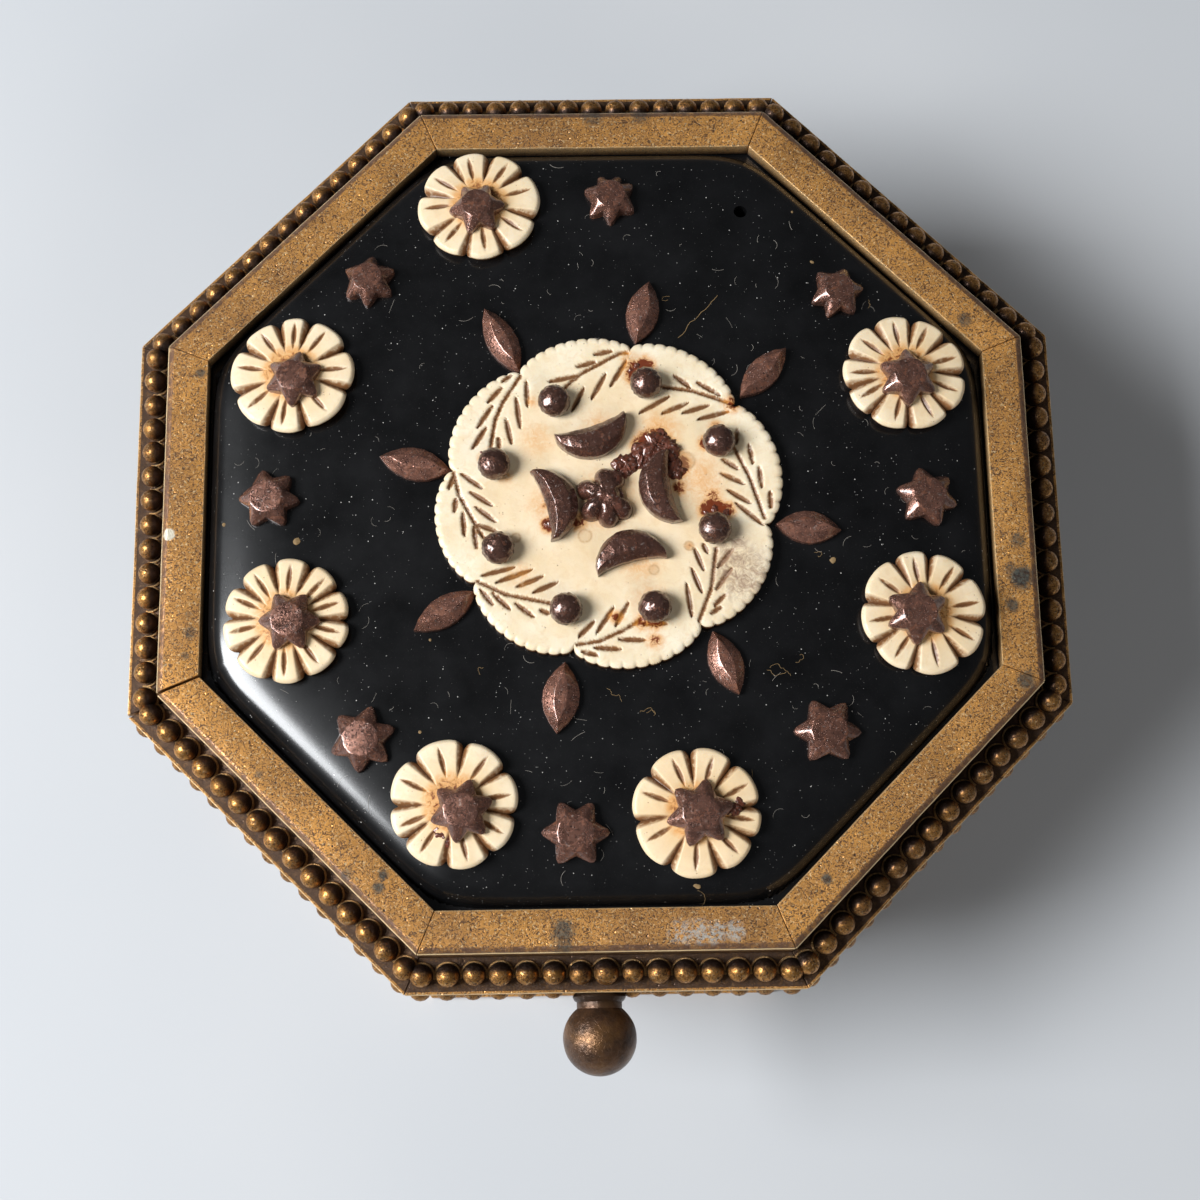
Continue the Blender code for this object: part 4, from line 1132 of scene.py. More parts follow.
def make_flower(number, spec):
    """Flower slice with gouged cuts between its petals and thin cuts in them."""
    centre_pixel, size, grooves, veins = spec
    node = "flower_%d" % number
    at = centre_of(node)
    base = FLOWER_DIAMETER / 2.0
    level = FLOWER_THICKNESS
    place = seat(at.x, at.y, base)
    around = 320
    theta = 2.0 * math.pi * np.arange(around) / around
    cuts = sorted(way_in_place(centre_pixel, d, place, level) % (2.0 * math.pi) for d in grooves)
    lines = [way_in_place(centre_pixel, d, place, level) for d in veins]
    seed = 17.0 * number
    warmth = FLOWER_WARMTH[number - 1]
    wide = size[0] / (size[0] + size[1]) * 2.0
    share = np.zeros(around)
    for i, cut in enumerate(cuts):
        span = (cuts[(i + 1) % len(cuts)] - cut) % (2.0 * math.pi)
        inside = ((theta - cut) % (2.0 * math.pi)) / span
        share = np.where((inside >= 0) & (inside <= 1), inside, share)
    bow = np.abs(2.0 * share - 1.0)
    radius = base * (1.0 + (wide - 1.0) * np.cos(2.0 * theta) * 0.5) * (1.0 - 0.07 * bow ** 2.6 - 0.075 * bow ** 11)
    radius = radius * np.array([1.0 + 0.012 * noise.noise(Vector((3.0 * math.cos(t), 3.0 * math.sin(t), seed)))
                                for t in theta])

    def straight_cuts(ways, r, half):
        """Depth share of V-shaped cuts along directions, of a half width in mm."""
        total = np.zeros(around)
        for way in ways:
            gap = (theta - way + math.pi) % (2.0 * math.pi) - math.pi
            depth = np.clip(1.0 - np.abs(np.sin(gap)) * r * base / half, 0.0, 1.0)
            total = np.maximum(total, np.where(np.cos(gap) > 0, depth, 0.0))
        return total

    def widening(r):
        return max(0.0, (r - 0.40) / 0.60)

    def groove(r):
        return straight_cuts(cuts, r, 0.16 + 0.62 * widening(r)) * min(1.0, 3.0 * widening(r))

    def vein(r):
        run = (r - 0.42) / 0.48
        if run <= 0.0 or run >= 1.0:
            return np.zeros(around)
        swell = math.sin(math.pi * run) ** 0.7
        return straight_cuts(lines, r, 0.30 * swell) * swell

    def top(r):
        flat = level * (FLOWER_HUB - 0.10 * r ** 2 - 0.10 * r ** 8)
        ease = 0.30 * max(0.0, (r - 0.94) / 0.06) ** 2
        lumps = np.array([0.05 * noise.noise(Vector((4.0 * r * math.cos(a), 4.0 * r * math.sin(a), seed)))
                          for a in theta])
        return flat - ease + lumps - 0.72 * widening(r) ** 0.7 * groove(r) ** 1.1 - 0.26 * vein(r)

    def cut_share(r):
        fading = min(1.0, 2.6 * max(0.0, (r - 0.36) / 0.6))
        return np.clip(np.maximum(groove(r) ** 0.75 * fading, vein(r) ** 0.45), 0, 1)

    shares = [k / 34.0 for k in range(1, 33)] + [0.955, 0.975, 0.99, 1.0]
    values = {
        "cut": (cut_share, 0.7),
        "warm": (lambda r: np.full(around, warmth + (0.9 - warmth) * math.exp(-(r / 0.62) ** 3)), 0.9),
        "rust": (lambda r: np.full(around, 0.5 * math.exp(-(r / 0.5) ** 8)), 0.0),
    }
    slice_piece("flower_%d_carved" % number, node, place, radius, theta, shares, top, values,
                ((0.03, 0.72), (0.18, 0.35), (0.35, 0.12)))
    return place


# Medallion

# Fern sprays: points of the stem, then the ends of each leaflet's cut
FERNS = (
    (((520.3, 376), (502.7, 402.7), (495.4, 419.7), (490.6, 447.5)),
     ((512.4, 374.2), (501.5, 382.1)), ((502.7, 386.3), (487, 403.3)), ((493, 405.1), (477.3, 428.1)),
     ((487, 426.3), (471.8, 450)), ((526.3, 380.3), (527.5, 407.6)), ((516, 396.6), (520.3, 429.4)),
     ((505.7, 417.9), (511.8, 445.1)), ((498.5, 436.6), (499.1, 448.8))),
    (((627.3, 352.4), (620, 353), (581.5, 373.6), (565.7, 387)),
     ((593, 354.8), (613, 350.6)), ((575.4, 367), (596.6, 361.5)), ((547.5, 382.3), (581.5, 374.8)),
     ((609.7, 387.6), (627.3, 359.7)), ((591.2, 399.7), (606.3, 373)), ((571.2, 412.4), (584.5, 387))),
    (((453.6, 472.4), (459, 494.8), (472.4, 519), (483.3, 537.3)),
     ((454.2, 474.2), (448.2, 490)), ((456, 497.3), (454.2, 513)), ((462.7, 510.6), (464.5, 537.3)),
     ((473.6, 525.1), (476.7, 549.4)), ((460.3, 473), (483.3, 489.3)), ((468.8, 491.2), (493, 506.3)),
     ((474.8, 506.4), (496.6, 522.7)), ((476.7, 524.5), (497.9, 531.8))),
    (((477.9, 581.5), (505.1, 594.2), (550, 603.3)),
     ((480.3, 576), (516, 566.9)), ((494.2, 583.3), (533, 569.4)), ((515.4, 587.5), (543.9, 576)),
     ((532.4, 593), (558.4, 582.1)), ((479.7, 588.8), (493.6, 605.7)), ((491.2, 591.8), (510.6, 610)),
     ((514.2, 602.1), (534.8, 617.8)), ((539, 609.4), (550, 614.2))),
    (((577.2, 644.5), (600, 640.9), (624.2, 630), (641.2, 619.7)),
     ((577.8, 637.8), (594.8, 620.9)), ((596, 634.2), (614.2, 606.9)), ((615.1, 626.9), (629.1, 602.1)),
     ((580.9, 651.2), (599, 655.4)), ((593, 647.5), (622.4, 649.3)), ((617, 639), (646.7, 640.3)),
     ((641.8, 623.9), (667.9, 623.3))),
    (((699.4, 620.3), (711.5, 588.2), (716.3, 548.2)),
     ((692.1, 617.8), (686.6, 582.7)), ((702.4, 593.6), (691.5, 567.6)), ((704.2, 571.2), (693.9, 547)),
     ((707.8, 553.6), (703, 543.3)), ((710.3, 614.2), (722.4, 606.3)), ((713.9, 606.3), (726, 593.6)),
     ((715.1, 590.6), (732.7, 566.9)), ((716.9, 568.8), (733.3, 548.2))),
    (((764.8, 517.8), (749, 475.4), (733.9, 447.5)),
     ((721.2, 458.4), (739.4, 470)), ((719.4, 472.4), (745.4, 484.5)), ((726.6, 489.3), (751.5, 503.9)),
     ((735.1, 502.1), (764.2, 525.7)), ((736.9, 428.1), (736.3, 443.9)), ((748.4, 443.3), (753.3, 464.5)),
     ((758.7, 465.1), (762.4, 488.7)), ((770.3, 490), (770.9, 509.3))),
    (((736.9, 405.1), (692.1, 390.6), (663, 387)),
     ((672.7, 374.8), (691.5, 388.2)), ((695.7, 381.5), (721.2, 396)), ((638.8, 413.6), (670.3, 396)),
     ((660.6, 414.2), (689, 402.7)), ((681.2, 413.6), (709.7, 405.1)), ((697, 419.7), (729.7, 411.2))),
)
# Marks left by drops, with radius in mm, and the grey-brown smudge with its reach
DROPS = (((516, 538), 0.42), ((585, 536), 0.62), ((654, 570), 0.45), ((689, 546), 0.42), ((686, 461), 0.85))
SMUDGES = (((742, 573), 2.9), ((732, 545), 1.6))
# Rust on the medallion: pixel, reach in pixels and strength, first the blots and then the wide warm stains
RUST_MARKS = (
    ((639, 372), 12, 1.3), ((645, 366), 9, 1.0), ((492, 459), 9, 0.9), ((484, 458), 6, 0.6),
    ((706, 443), 7, 1.0), ((716, 428), 7, 0.7), ((713, 510), 11, 1.3), ((712, 494), 9, 0.6),
    ((727, 510), 8, 0.9), ((655, 445), 16, 1.2), ((643, 446), 10, 1.1), ((676, 466), 12, 1.2),
    ((679, 488), 8, 0.7), ((616, 617), 6, 0.7), ((655, 641), 8, 0.6), ((643, 622), 8, 0.7),
    ((689, 546), 4, 0.5), ((732, 404), 9, 0.7), ((628, 358), 8, 0.5), ((549, 525), 7, 1.2),
    ((545, 505), 7, 0.5), ((578, 522), 9, 0.7), ((533, 402), 6, 0.4), ((654, 619), 10, 0.9),
    ((506, 477), 8, 0.4),
    ((606, 500), 28, 0.42), ((600, 430), 20, 0.34), ((545, 505), 18, 0.34), ((640, 560), 22, 0.34),
    ((660, 430), 20, 0.4), ((700, 480), 26, 0.36), ((536, 440), 20, 0.28), ((650, 600), 20, 0.3),
    ((520, 575), 16, 0.25),
)
STEM_HALF = 0.21
LEAFLET_HALF = 0.29
# Millimetres to a pixel of a rust mark's reach
RUST_SCALE = 0.15


def lens_cut(x, y, start, end, half):
    """Depth share of a lens-shaped stroke at arrays of places."""
    way = end - start
    length = way.length
    way = way / length
    along = ((x - start.x) * way.x + (y - start.y) * way.y) / length
    away = np.abs((x - start.x) * -way.y + (y - start.y) * way.x)
    swell = np.sqrt(np.clip(4.0 * along * (1.0 - along), 0.0, 1.0))
    return np.clip(1.0 - away / np.maximum(half * swell, 1e-3), 0.0, 1.0) * (along > 0) * (along < 1)


def line_cut(x, y, path, half):
    """Depth share of a stroke of one width along a path at arrays of places."""
    total = np.zeros_like(x)
    for start, end in zip(path[:-1], path[1:]):
        way = end - start
        share = np.clip(((x - start.x) * way.x + (y - start.y) * way.y) / way.length_squared, 0.0, 1.0)
        away = np.hypot(x - start.x - share * way.x, y - start.y - share * way.y)
        total = np.maximum(total, np.clip(1.0 - away / half, 0.0, 1.0))
    return total


def make_medallion():
    """Lobed slice with a scalloped rim and eight engraved fern sprays."""
    at = centre_of("medallion")
    place = seat(at.x, at.y, MEDALLION_DIAMETER / 2.0)
    level = MEDALLION_THICKNESS
    around = 864
    theta = 2.0 * math.pi * np.arange(around) / around

    def spots(marks):
        """Marks with their pixel turned into a flat place on the medallion."""
        return [(in_place(pixel, place, level), *rest) for pixel, *rest in marks]

    starts = sorted(math.atan2(p.y, p.x) % (2.0 * math.pi) for p in (in_place(n, place, level) for n in NOTCHES))
    radius = np.zeros(around)
    tooth = np.zeros(around)
    for i, start in enumerate(starts):
        span = (starts[(i + 1) % len(starts)] - start) % (2.0 * math.pi)
        share = ((theta - start) % (2.0 * math.pi)) / span
        inside = share <= 1.0
        lobe = np.sqrt(np.sin(math.pi * np.clip(share, 0, 1)))
        wave = np.abs(np.sin(math.pi * SCALLOPS * share))
        bulge = NOTCH_SHARE + (LOBE_SHARES[i] - NOTCH_SHARE) * lobe
        reach = MEDALLION_DIAMETER / 2.0 * bulge - SCALLOP_DEPTH * (1.0 - wave) ** 2.2
        radius = np.where(inside, reach, radius)
        tooth = np.where(inside, 1.0 - wave, tooth)
    stems, leaflets = [], []
    for stem, *pairs in FERNS:
        stems.append([in_place(p, place, level).xy for p in stem])
        leaflets += [[in_place(p, place, level).xy for p in pair] for pair in pairs]
    rusts, drops, smudges = spots(RUST_MARKS), spots(DROPS), spots(SMUDGES)
    cut_rings = {}

    def cuts(r):
        if r not in cut_rings:
            x = radius * r * np.cos(theta)
            y = radius * r * np.sin(theta)
            strokes = [line_cut(x, y, stem, STEM_HALF) for stem in stems]
            strokes += [lens_cut(x, y, start, end, LEAFLET_HALF) for start, end in leaflets]
            cut_rings[r] = np.max(strokes, axis=0)
        return cut_rings[r]

    def teeth(r):
        return tooth ** 1.5 * smooth_step((r - 0.955) / 0.045)

    def top(r):
        lumps = np.array([0.03 * noise.noise(Vector((0.6 * k * math.cos(a), 0.6 * k * math.sin(a), 5.0)))
                          for a, k in zip(theta, radius * r)])
        flat = level + 0.10 * (1.0 - r ** 2) - 0.22 * max(0.0, (r - 0.965) / 0.035) ** 2
        return flat + lumps - 0.30 * cuts(r) ** 0.8 - 0.03 * teeth(r)

    def away_from(spot, r):
        return np.hypot(radius * r * np.cos(theta) - spot.x, radius * r * np.sin(theta) - spot.y)

    def rust(r):
        return np.max([power * np.exp(-(away_from(spot, r) / (0.75 * RUST_SCALE * reach)) ** 2)
                       for spot, reach, power in rusts], axis=0)

    def drop(r):
        rings = []
        for spot, size in drops:
            away = away_from(spot, r)
            rings += [np.exp(-((away - size) / 0.10) ** 2), 0.38 * (away < size)]
        return np.max(rings, axis=0)

    def smudge(r):
        return np.max([np.exp(-(away_from(spot, r) / size) ** 4) for spot, size in smudges], axis=0)

    shares = [k / 100.0 for k in range(1, 96)] + [0.96, 0.968, 0.976, 0.984, 0.992, 1.0]
    values = {
        "cut": (lambda r: np.clip(cuts(r) ** 0.35 + 0.14 * teeth(r), 0, 1), 0.9),
        "warm": (lambda r: np.full(around, 0.30 * (1.0 - smooth_step((r - 0.50) / 0.42))), 0.9),
        "rust": (rust, 0.0),
        "drop": (drop, 0.0),
        "smudge": (smudge, 0.0),
    }
    slice_piece("medallion_carved", "medallion", place, radius, theta, shares, top, values,
                ((0.0, 0.78), (0.0, 0.4), (0.04, 0.1)))
    return place


# Steel ornaments

STEEL_FOOT = 0.3
FIELD_FOOT = 0.08
# Height over a star's or stud's foot at which its pixels were read
READ_HEIGHT = 0.8
STAR_TABLE = 0.55
STAR_BLUNT = math.radians(7.0)
# A star's tip, its two blunted corners and the valley after it: turn, share of the reach, share of the height
STAR_TIP = ((-STAR_BLUNT, 0.93, 0.36), (0.0, 1.0, 0.30), (STAR_BLUNT, 0.93, 0.36))
STAR_VALLEY_LEVEL = 0.60
# Reach of a star's tips and width of a leaf, in pixels, that stand for the driving sizes
STAR_REACH_PX = 31.0
LEAF_WIDTH_PX = 30.0


def eased(points, faces, width, rough, seed):
    """Bevelled and slightly corroded version of a closed faceted form, in mm."""
    form = bmesh.new()
    made = [form.verts.new(p) for p in points]
    for face in faces:
        form.faces.new([made[i] for i in face])
    bmesh.ops.recalc_face_normals(form, faces=form.faces)
    bmesh.ops.bevel(form, geom=list(form.edges), offset=width, offset_type="OFFSET", segments=2, profile=0.6,
                    affect="EDGES", clamp_overlap=True)
    bmesh.ops.remove_doubles(form, verts=form.verts, dist=1e-4)
    bmesh.ops.triangulate(form, faces=[f for f in form.faces if len(f.verts) > 4])
    bmesh.ops.subdivide_edges(form, edges=form.edges, cuts=1, use_grid_fill=True)
    form.normal_update()
    for vert in form.verts:
        swing = noise.noise(vert.co * 1.3 + Vector((seed, 0.0, 0.0))) + 0.5 * noise.noise(vert.co * 3.1)
        vert.co += vert.normal * rough * swing
    return form_lists(form)


def form_lists(form):
    """Points and faces of a bmesh, which is freed."""
    form.verts.index_update()
    points = [v.co.copy() for v in form.verts]
    faces = [tuple(v.index for v in f.verts) for f in form.faces]
    form.free()
    return points, faces


def turned(angle, reach, z):
    return Vector((reach * math.cos(angle), reach * math.sin(angle), z))


def prism(outline, tops, top_faces):
    """Closed form with a foot below its outline and facets up to its top points."""
    count = len(outline)
    points = [Vector((p.x, p.y, -STEEL_FOOT)) for p in outline] + list(outline) + list(tops)
    faces = [tuple(reversed(range(count)))]
    for i in range(count):
        k = (i + 1) % count
        faces.append((i, k, count + k, count + i))
    return points, faces + top_faces


def star_form(ways, reach, height):
    """Star with a broad round table, blunt tips and two facets falling to each."""
    tips = sorted(w % (2.0 * math.pi) for w in ways)
    outline = []
    table = []
    count = len(tips)
    for i, tip in enumerate(tips):
        valley = tip + (tips[(i + 1) % count] - tip) % (2.0 * math.pi) / 2.0
        outline += [turned(tip + turn, share * reach, level * height) for turn, share, level in STAR_TIP]
        outline.append(turned(valley, STAR_VALLEY * reach, STAR_VALLEY_LEVEL * height))
        table += [turned(tip, 0.96 * STAR_TABLE * reach, height), turned(valley, STAR_TABLE * reach, height)]
    n = len(outline)
    first = 2 * n
    faces = []
    for i in range(count):
        start = n + 4 * i
        crown = first + 2 * i
        crown_before = first + (2 * i - 1) % (2 * count)
        valley_before = n + (4 * i - 1) % n
        faces.append((crown_before, valley_before, start, crown))
        faces.append((crown, start, start + 1))
        faces.append((crown, start + 1, start + 2))
        faces.append((crown, start + 2, start + 3, crown + 1))
    faces.append(tuple(first + i for i in range(2 * count)))
    return prism(outline, table, faces)


def set_on(node, place, points, faces, material, sharp=38.0, crust=None, down_to_dome=False):
    """Steel ornament in the place of its node; its foot may follow the dome."""
    carried = [place @ p for p in points]
    if down_to_dome:
        for i, p in enumerate(points):
            if p.z < -0.4 * STEEL_FOOT:
                carried[i].z = float(dome_height(carried[i].x, carried[i].y)) - FIELD_FOOT
    rust = [crust(p) for p in points] if crust else [0.0] * len(points)
    item = piece(node + "_cut", carried, faces, material, sharp=sharp, attributes={"rust": rust})
    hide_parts(node)


def make_star(node, spec, place, seed, on_field):
    pixel, tips, reach_px = spec
    ways = [way_in_place(pixel, d, place, READ_HEIGHT) for d in tips]
    form = star_form(ways, STAR_DIAMETER / 2.0 * reach_px / STAR_REACH_PX, STAR_HEIGHT)
    points, faces = eased(*form, 0.09, 0.04, seed)
    set_on(node, place, points, faces, STEEL, down_to_dome=on_field)


def lens_loop(length, width, z, count=7):
    """Pointed oval of two bows, each of a count of points."""
    shares = [-1.0 + 2.0 * i / count for i in range(count)]
    loop = [Vector((length / 2.0 * s, -width / 2.0 * (1.0 - s * s), z)) for s in shares]
    return loop + [Vector((-length / 2.0 * s, width / 2.0 * (1.0 - s * s), z)) for s in shares]


def make_leaf(number, spec):
    """Pointed leaf with a narrow raised table."""
    inner, outer, width_px = spec
    start = on_dome(inner, 0.5)
    end = on_dome(outer, 0.5)
    middle = (start + end) / 2.0
    length = 1.05 * (end - start).length
    width = 1.08 * LEAF_WIDTH * width_px / LEAF_WIDTH_PX
    place = seat(middle.x, middle.y, length / 2.0, math.atan2((end - start).y, (end - start).x))
    outline = lens_loop(length, width, 0.42 * LEAF_HEIGHT)
    table = lens_loop(0.72 * length, 0.34 * width, LEAF_HEIGHT)
    n = len(outline)
    faces = [(n + i, n + (i + 1) % n, 2 * n + (i + 1) % n, 2 * n + i) for i in range(n)]
    faces.append(tuple(2 * n + i for i in range(n)))
    points, faces = eased(*prism(outline, table, faces), 0.10, 0.03, 3.0 * number)
    set_on("leaf_%d" % number, place, points, faces, STEEL_LEAF, down_to_dome=True)


def make_stud(number, place, pixel):
    """Faceted ball stud, pitted and near black."""
    at = in_place(pixel, place, MEDALLION_THICKNESS + READ_HEIGHT)
    radius = BALL_STUD_DIAMETER / 2.0
    seam = 0.22
    form = bmesh.new()
    bmesh.ops.create_icosphere(form, subdivisions=4, radius=radius)
    for vert in form.verts:
        way = vert.co.normalized()
        near, next_near = noise.voronoi(way * 2.6 + Vector((number * 5.0, 0, 0)))[0][:2]
        vert.co = way * radius * (1.05 - 0.07 * max(0.0, 1 - (next_near - near) / seam))
        for fineness, depth in ((4.5, 0.075), (9.0, 0.045)):
            vert.co += way * depth * noise.noise(way * fineness + Vector((number, 0, 0)))
        vert.co.z = vert.co.z * 0.86 + 0.6 * radius
    points, faces = form_lists(form)
    on_top = place @ Matrix.Translation((at.x, at.y, MEDALLION_THICKNESS))
    set_on("ball_stud_%d" % number, on_top, points, faces, STEEL_DARK, sharp=70.0)


def make_crescent(number, place, spec):
    """Crescent with blunt horns and a narrow table between two bevels."""
    first, second, side = spec
    a, b = (in_place(pixel, place, MEDALLION_THICKNESS + 0.9) for pixel in (first, second))
    way = b - a
    length = way.xy.length
    steps = 22
    middle = (CRESCENT_BELLY + CRESCENT_HOLLOW) / 2.0
    points = []
    for i in range(steps + 1):
        share = -1.0 + 2.0 * i / steps
        bow = math.sqrt(1.0 - (CRESCENT_TAPER * share) ** 2)
        outer = middle - 1.12 * CRESCENT_BELLY * bow
        inner = middle - CRESCENT_HOLLOW * bow
        shelf = 0.26 * (inner - outer)
        edge = CRESCENT_HEIGHT * (0.30 + 0.25 * bow)
        top = CRESCENT_HEIGHT * (0.50 + 0.50 * bow)
        points += [Vector((share * length / 2.0, y, z)) for y, z in (
            (outer, -STEEL_FOOT), (outer, edge), (outer + shelf, top), (inner - shelf, top), (inner, edge),
            (inner, -STEEL_FOOT))]
    faces = grid_faces(steps + 1, 6)
    faces.append(tuple(range(6)))
    faces.append(tuple(range(steps * 6, steps * 6 + 6)))
    horn = middle * (1.0 - math.sqrt(1.0 - CRESCENT_TAPER ** 2))
    points, faces = eased(points, faces, 0.09, 0.06, 11.0 * number)
    turn = Matrix.Rotation(math.atan2(way.y, way.x) + (math.pi if side > 0 else 0.0), 4, "Z")
    shift = (a + b) / 2.0 - turn @ Vector((0.0, horn, 0.0))
    on_top = place @ Matrix.Translation((shift.x, shift.y, MEDALLION_THICKNESS)) @ turn
    set_on("crescent_%d" % number, on_top, points, faces, STEEL_DARK, crust=lambda p: 0.12)


def make_centre_star(place):
    """Six rounded rusty lobes round a worn middle."""
    lobes = [in_place(lobe, place, MEDALLION_THICKNESS + READ_HEIGHT) for lobe in CENTRE_LOBES]
    at = sum(lobes, Vector((0.0, 0.0, 0.0))) / len(lobes)
    ways = [math.atan2(p.y - at.y, p.x - at.x) for p in lobes]
    around = 120
    rings = 20
    points = []
    for k in range(rings + 1):
        share = 1.0 - k / rings
        for c in range(around):
            angle = 2.0 * math.pi * c / around
            gap = min(abs((angle - way + math.pi) % (2.0 * math.pi) - math.pi) for way in ways)
            lobe = max(0.0, math.cos(min(gap * 3.0, math.pi / 2.0))) ** 0.55
            reach = CENTRE_STAR_DIAMETER / 2.0 * (0.68 + 0.42 * lobe)
            crown = 1.0 - 0.36 * (1.0 - lobe) * smooth_step((share - 0.42) / 0.36)
            flat = turned(angle, reach * share, 0.0)
            z = 1.75 * crown * math.sqrt(max(0.0, 1.0 - share ** 3.2))
            z += 0.16 * noise.noise(Vector((flat.x, flat.y, 3.0)) * 1.6)
            points.append(Vector((flat.x, flat.y, z)))
    foot = [Vector((p.x * 0.97, p.y * 0.97, -0.25)) for p in points[:around]]
    points = foot + points[:-around] + [points[-1]]
    faces = grid_faces(rings + 1, around)
    last = rings * around
    faces += [(last + c, last + (c + 1) % around, last + around) for c in range(around)]
    faces.append(tuple(reversed(range(around))))
    on_top = place @ Matrix.Translation((at.x, at.y, MEDALLION_THICKNESS))
    set_on("centre_star", on_top, points, faces, STEEL_DARK, sharp=60.0,
           crust=lambda p: max(0.0, 0.1 + noise.noise(p * 0.9)))


# Crusts of rust: pixel, height of the seat over the plaque, radius
CRUSTS = (
    ((655, 447), 1.15, 1.45), ((641, 456), 1.05, 1.30), ((667, 452), 1.25, 1.30), ((675, 470), 1.10, 1.10),
    ((626, 466), 1.25, 1.10), ((619, 463), 1.35, 0.75), ((662, 436), 1.15, 0.70), ((631, 372), 1.1, 0.45),
    ((637, 367), 1.1, 0.45), ((650, 366), 1.05, 0.35), ((705, 513), 1.1, 0.45), ((715, 509), 1.15, 0.55),
    ((727, 513), 1.1, 0.45), ((508, 455), 1.1, 0.45), ((548, 524), 1.15, 0.55), ((481, 454), 1.1, 0.40),
    ((731, 808), 1.1, 0.85), ((738, 801), 1.1, 0.60), ((443, 836), 1.05, 0.80), ((440, 829), 1.05, 0.60),
    ((447, 842), 1.0, 0.50), ((497, 206), 1.1, 0.45), ((486, 228), 1.05, 0.40),
)


def make_crusts():
    """Small flat lumps of rust that grew beside the studs."""
    parts = Parts("rust")
    for n, (pixel, lift, radius) in enumerate(CRUSTS):
        at = on_dome(pixel, lift)
        points, faces = ball_points((0.0, 0.0, 0.0), radius, 0.55, 40, 21)
        lumps = []
        for p in map(Vector, points):
            p *= (1.0 + 0.50 * noise.noise(p * 1.4 + Vector((9.0 * n, 0.0, 0.0)))
                  + 0.26 * noise.noise(p * 4.5 + Vector((0.0, 9.0 * n, 0.0))))
            lumps.append(p + at)
        parts.take(lumps, faces, rust=0.9)
    piece("rust_crust", parts.points, parts.faces, STEEL_CRUST, sharp=50.0,
          attributes=parts.values)


# Dust and lint on the plaque

# Brown fibres: pixel, length, waviness; the long fibre's ends; flakes: pixel, radius
TAN_FIBRES = (
    ((622, 702), 2.6, 1.2), ((640, 712), 2.2, 1.3), ((654, 716), 1.6, 1.2), ((770, 668), 3.0, 1.1),
    ((786, 672), 2.4, 1.3), ((800, 655), 1.8, 1.2), ((818, 556), 1.6, 1.0), ((480, 675), 1.4, 0.9),
    ((700, 908), 2.2, 0.8), ((752, 770), 2.4, 0.3), ((668, 300), 1.8, 0.8), ((868, 300), 1.2, 0.9),
    ((414, 842), 2.4, 0.9), ((426, 866), 1.8, 0.9),
)
LONG_FIBRE = ((678, 338), (718, 295))
TAN_FLAKES = (
    ((833, 560), 0.30), ((296.5, 541.5), 0.36), ((224, 525), 0.20), ((420, 732), 0.18),
    ((697, 886), 0.32), ((812, 262), 0.20), ((430, 640), 0.12), ((792, 212), 0.14),
)
LINT_COUNT = 150
LINT_REACH = 37.5
LINT_CLEAR = 2.0


def over_dome(x, y, lift):
    return Vector((x, y, float(dome_height(x, y)) + lift))


def trail(x, y, heading, step, count, lift, bend):
    """Path over the dome that bends at each step."""
    path = []
    for _ in range(count):
        path.append(over_dome(x, y, lift))
        x += step * math.cos(heading)
        y += step * math.sin(heading)
        heading += bend()
    return path


def make_lint():
    """Grey lint strewn over the plaque, and brown fibres and flakes in their own places."""
    chance = random.Random(7)
    lint = Parts()
    for _ in range(LINT_COUNT):
        angle = chance.uniform(0.0, 2.0 * math.pi)
        reach = math.sqrt(chance.uniform(0.16, 1.0)) * LINT_REACH
        x = reach * math.cos(angle)
        y = reach * math.sin(angle)
        if float(inset_depth(x, y)) < LINT_CLEAR:
            continue
        length = chance.uniform(0.4, 1.6)
        heading = chance.uniform(0.0, 2.0 * math.pi)
        bend = chance.uniform(-2.6, 2.6) / 6.0
        path = trail(x, y, heading, length / 6.0, 7, 0.02, lambda: bend)
        lint.take(*tube(path, chance.uniform(0.009, 0.018), 5))
    piece("plaque_lint", lint.points, lint.faces, lint_material("grey_lint", LINT_GREY))
    tan = Parts()
    for pixel, reach, bends in TAN_FIBRES:
        at = on_dome(pixel)
        heading = chance.uniform(0.0, 2.0 * math.pi)
        path = trail(at.x, at.y, heading, reach / 16, 16, 0.03, lambda: chance.uniform(-bends, bends))
        tan.take(*tube(path, 0.022, 5))
    start, end = (on_dome(pixel) for pixel in LONG_FIBRE)
    path = []
    for k in range(13):
        wander = Vector((noise.noise(Vector((k * 0.4, 0, 0))), noise.noise(Vector((0, k * 0.4, 0))), 0.0))
        p = start.lerp(end, k / 12.0) + 0.25 * wander
        path.append(over_dome(p.x, p.y, 0.03))
    tan.take(*tube(path, 0.035))
    for pixel, radius in TAN_FLAKES:
        at = on_dome(pixel)
        points, faces = ball_points(at, radius, 0.3, 12, 7)
        tan.take([p + (p - at) * 0.6 * noise.noise(p * 3.0) for p in map(Vector, points)], faces)
    piece("plaque_fibres", tan.points, tan.faces, lint_material("tan_fibre", LINT_TAN))


# Light, floor and camera

def area_light(name, azimuth, elevation, distance, size, watts, colour):
    """Soft panel that faces the box from a direction given in degrees."""
    a = math.radians(azimuth)
    e = math.radians(elevation)
    data = bpy.data.lights.new(name, "AREA")
    data.shape = "RECTANGLE"
    data.size, data.size_y = size
    data.energy = watts
    data.color = colour
    item = linked(name, data)
    way = Vector((math.cos(a) * math.cos(e), math.sin(a) * math.cos(e), math.sin(e)))
    item.location = way * distance + Vector((0.0, 0.0, BAND_TOP * MM))
    item.rotation_mode = "QUATERNION"
    item.rotation_quaternion = (-way).to_track_quat("-Z", "Y")
    return item


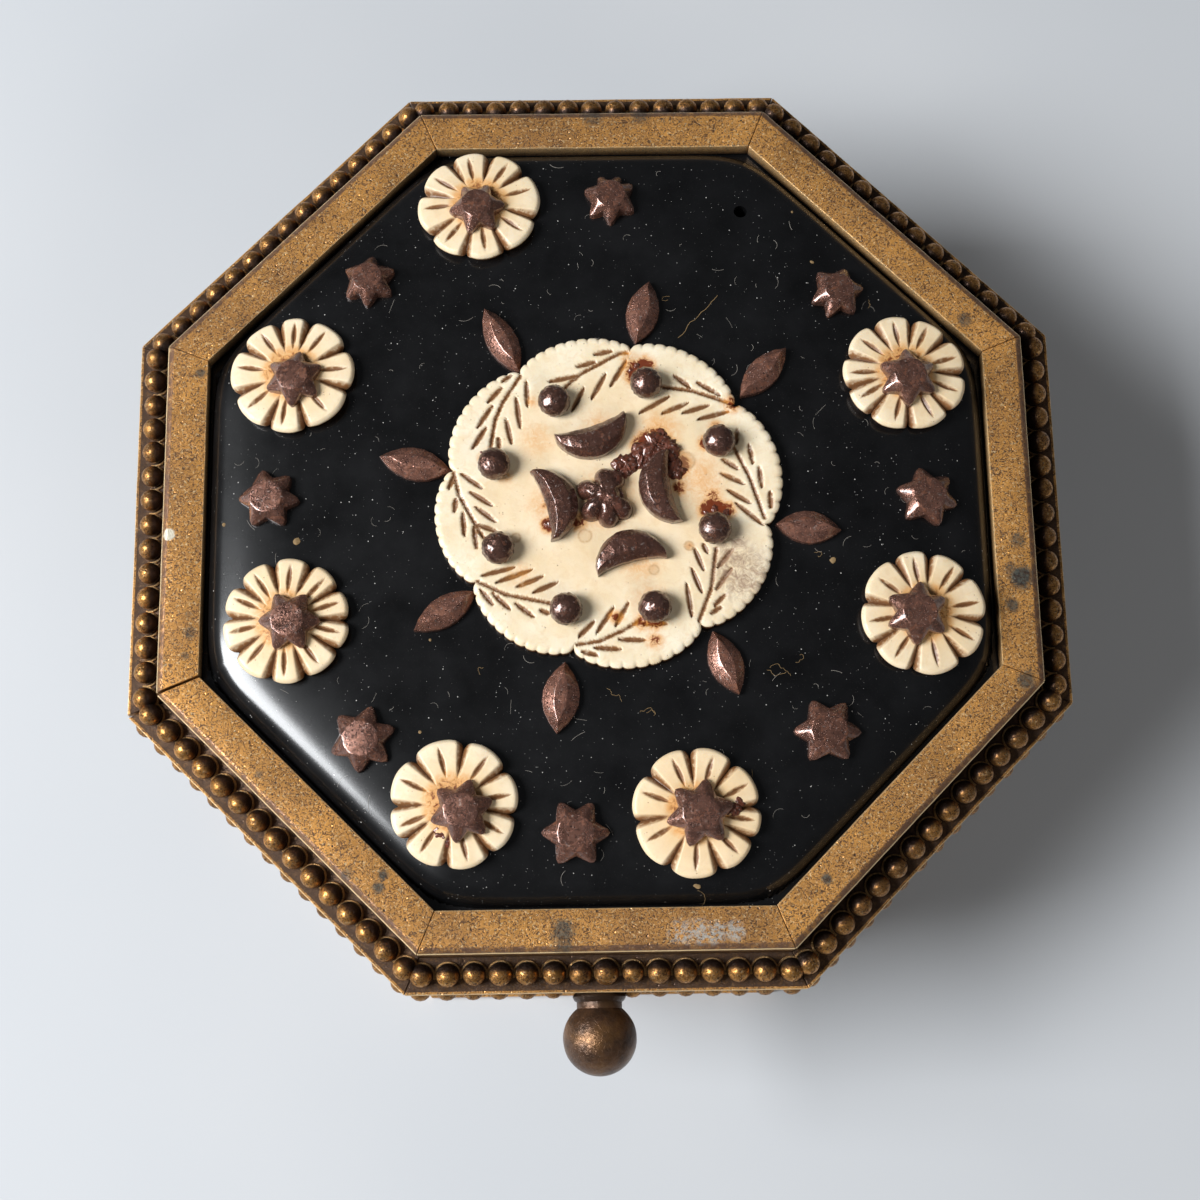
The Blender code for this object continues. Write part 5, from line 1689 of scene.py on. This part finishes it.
def make_light():
    """Cool key light from the left, whose gleam lies on the plaque's roll, a weak warm fill and a dim sky."""
    area_light("key", 188.0, 43.5, 0.75, (0.38, 0.34), 10.2, (0.95, 0.975, 1.0))
    fill = area_light("fill", -62.0, 35.0, 0.9, (0.5, 0.3), 2.0, (1.0, 0.97, 0.93))
    fill.visible_glossy = False
    world = bpy.data.worlds.new("soft_studio")
    bpy.context.scene.world = world
    world.use_nodes = True
    back = world.node_tree.nodes["Background"]
    back.inputs["Color"].default_value = (0.90, 0.94, 1.0, 1.0)
    back.inputs["Strength"].default_value = 0.07
    bpy.context.scene.view_settings.view_transform = "Standard"


def make_floor():
    paint = Paint("pale_floor")
    tone = paint.mix(paint.patches(0.3, 0.7, 60.0, 2.0), (0.50, 0.515, 0.535), (0.53, 0.54, 0.555))
    paint.shade({"Base Color": tone, "Roughness": 0.85})
    half = 3.0
    mesh = bpy.data.meshes.new("floor")
    mesh.from_pydata([(-half, -half, 0), (half, -half, 0), (half, half, 0), (-half, half, 0)], [], [(0, 1, 2, 3)])
    mesh.materials.append(paint.material)
    floor = linked("floor", mesh)


def make_camera():
    data = bpy.data.cameras.new("camera")
    data.sensor_width = SENSOR
    data.lens = FOCAL / IMAGE * SENSOR
    data.clip_start = 0.01
    item = linked("camera", data)
    turn = Matrix((RIGHT, UP, -FORWARD)).transposed().to_4x4()
    item.matrix_world = Matrix.Translation(EYE * MM) @ turn
    bpy.context.scene.camera = item


for number in range(SIDES):
    make_bar(number)
make_base()
make_ball()
make_plaque()
for number, (spec, star) in enumerate(zip(FLOWERS, FLOWER_STARS), 1):
    top_place = make_flower(number, spec) @ Matrix.Translation((0.0, 0.0, FLOWER_HUB * FLOWER_THICKNESS - 0.05))
    shift = in_place(star[0], top_place, READ_HEIGHT)
    make_star("flower_star_%d" % number, star, top_place @ Matrix.Translation((shift.x, shift.y, 0.0)),
              7.0 * number, False)
for number, spec in enumerate(FIELD_STARS, 1):
    middle = centre_of("field_star_%d" % number)
    make_star("field_star_%d" % number, spec, seat(middle.x, middle.y, STAR_DIAMETER / 2.0),
              9.0 * number + 100.0, True)
for number, spec in enumerate(LEAVES, 1):
    make_leaf(number, spec)
medal = make_medallion()
for number, pixel in enumerate(BALL_STUDS, 1):
    make_stud(number, medal, pixel)
for number, spec in enumerate(CRESCENTS, 1):
    make_crescent(number, medal, spec)
make_centre_star(medal)
make_crusts()
make_lint()
make_light()
make_floor()
make_camera()
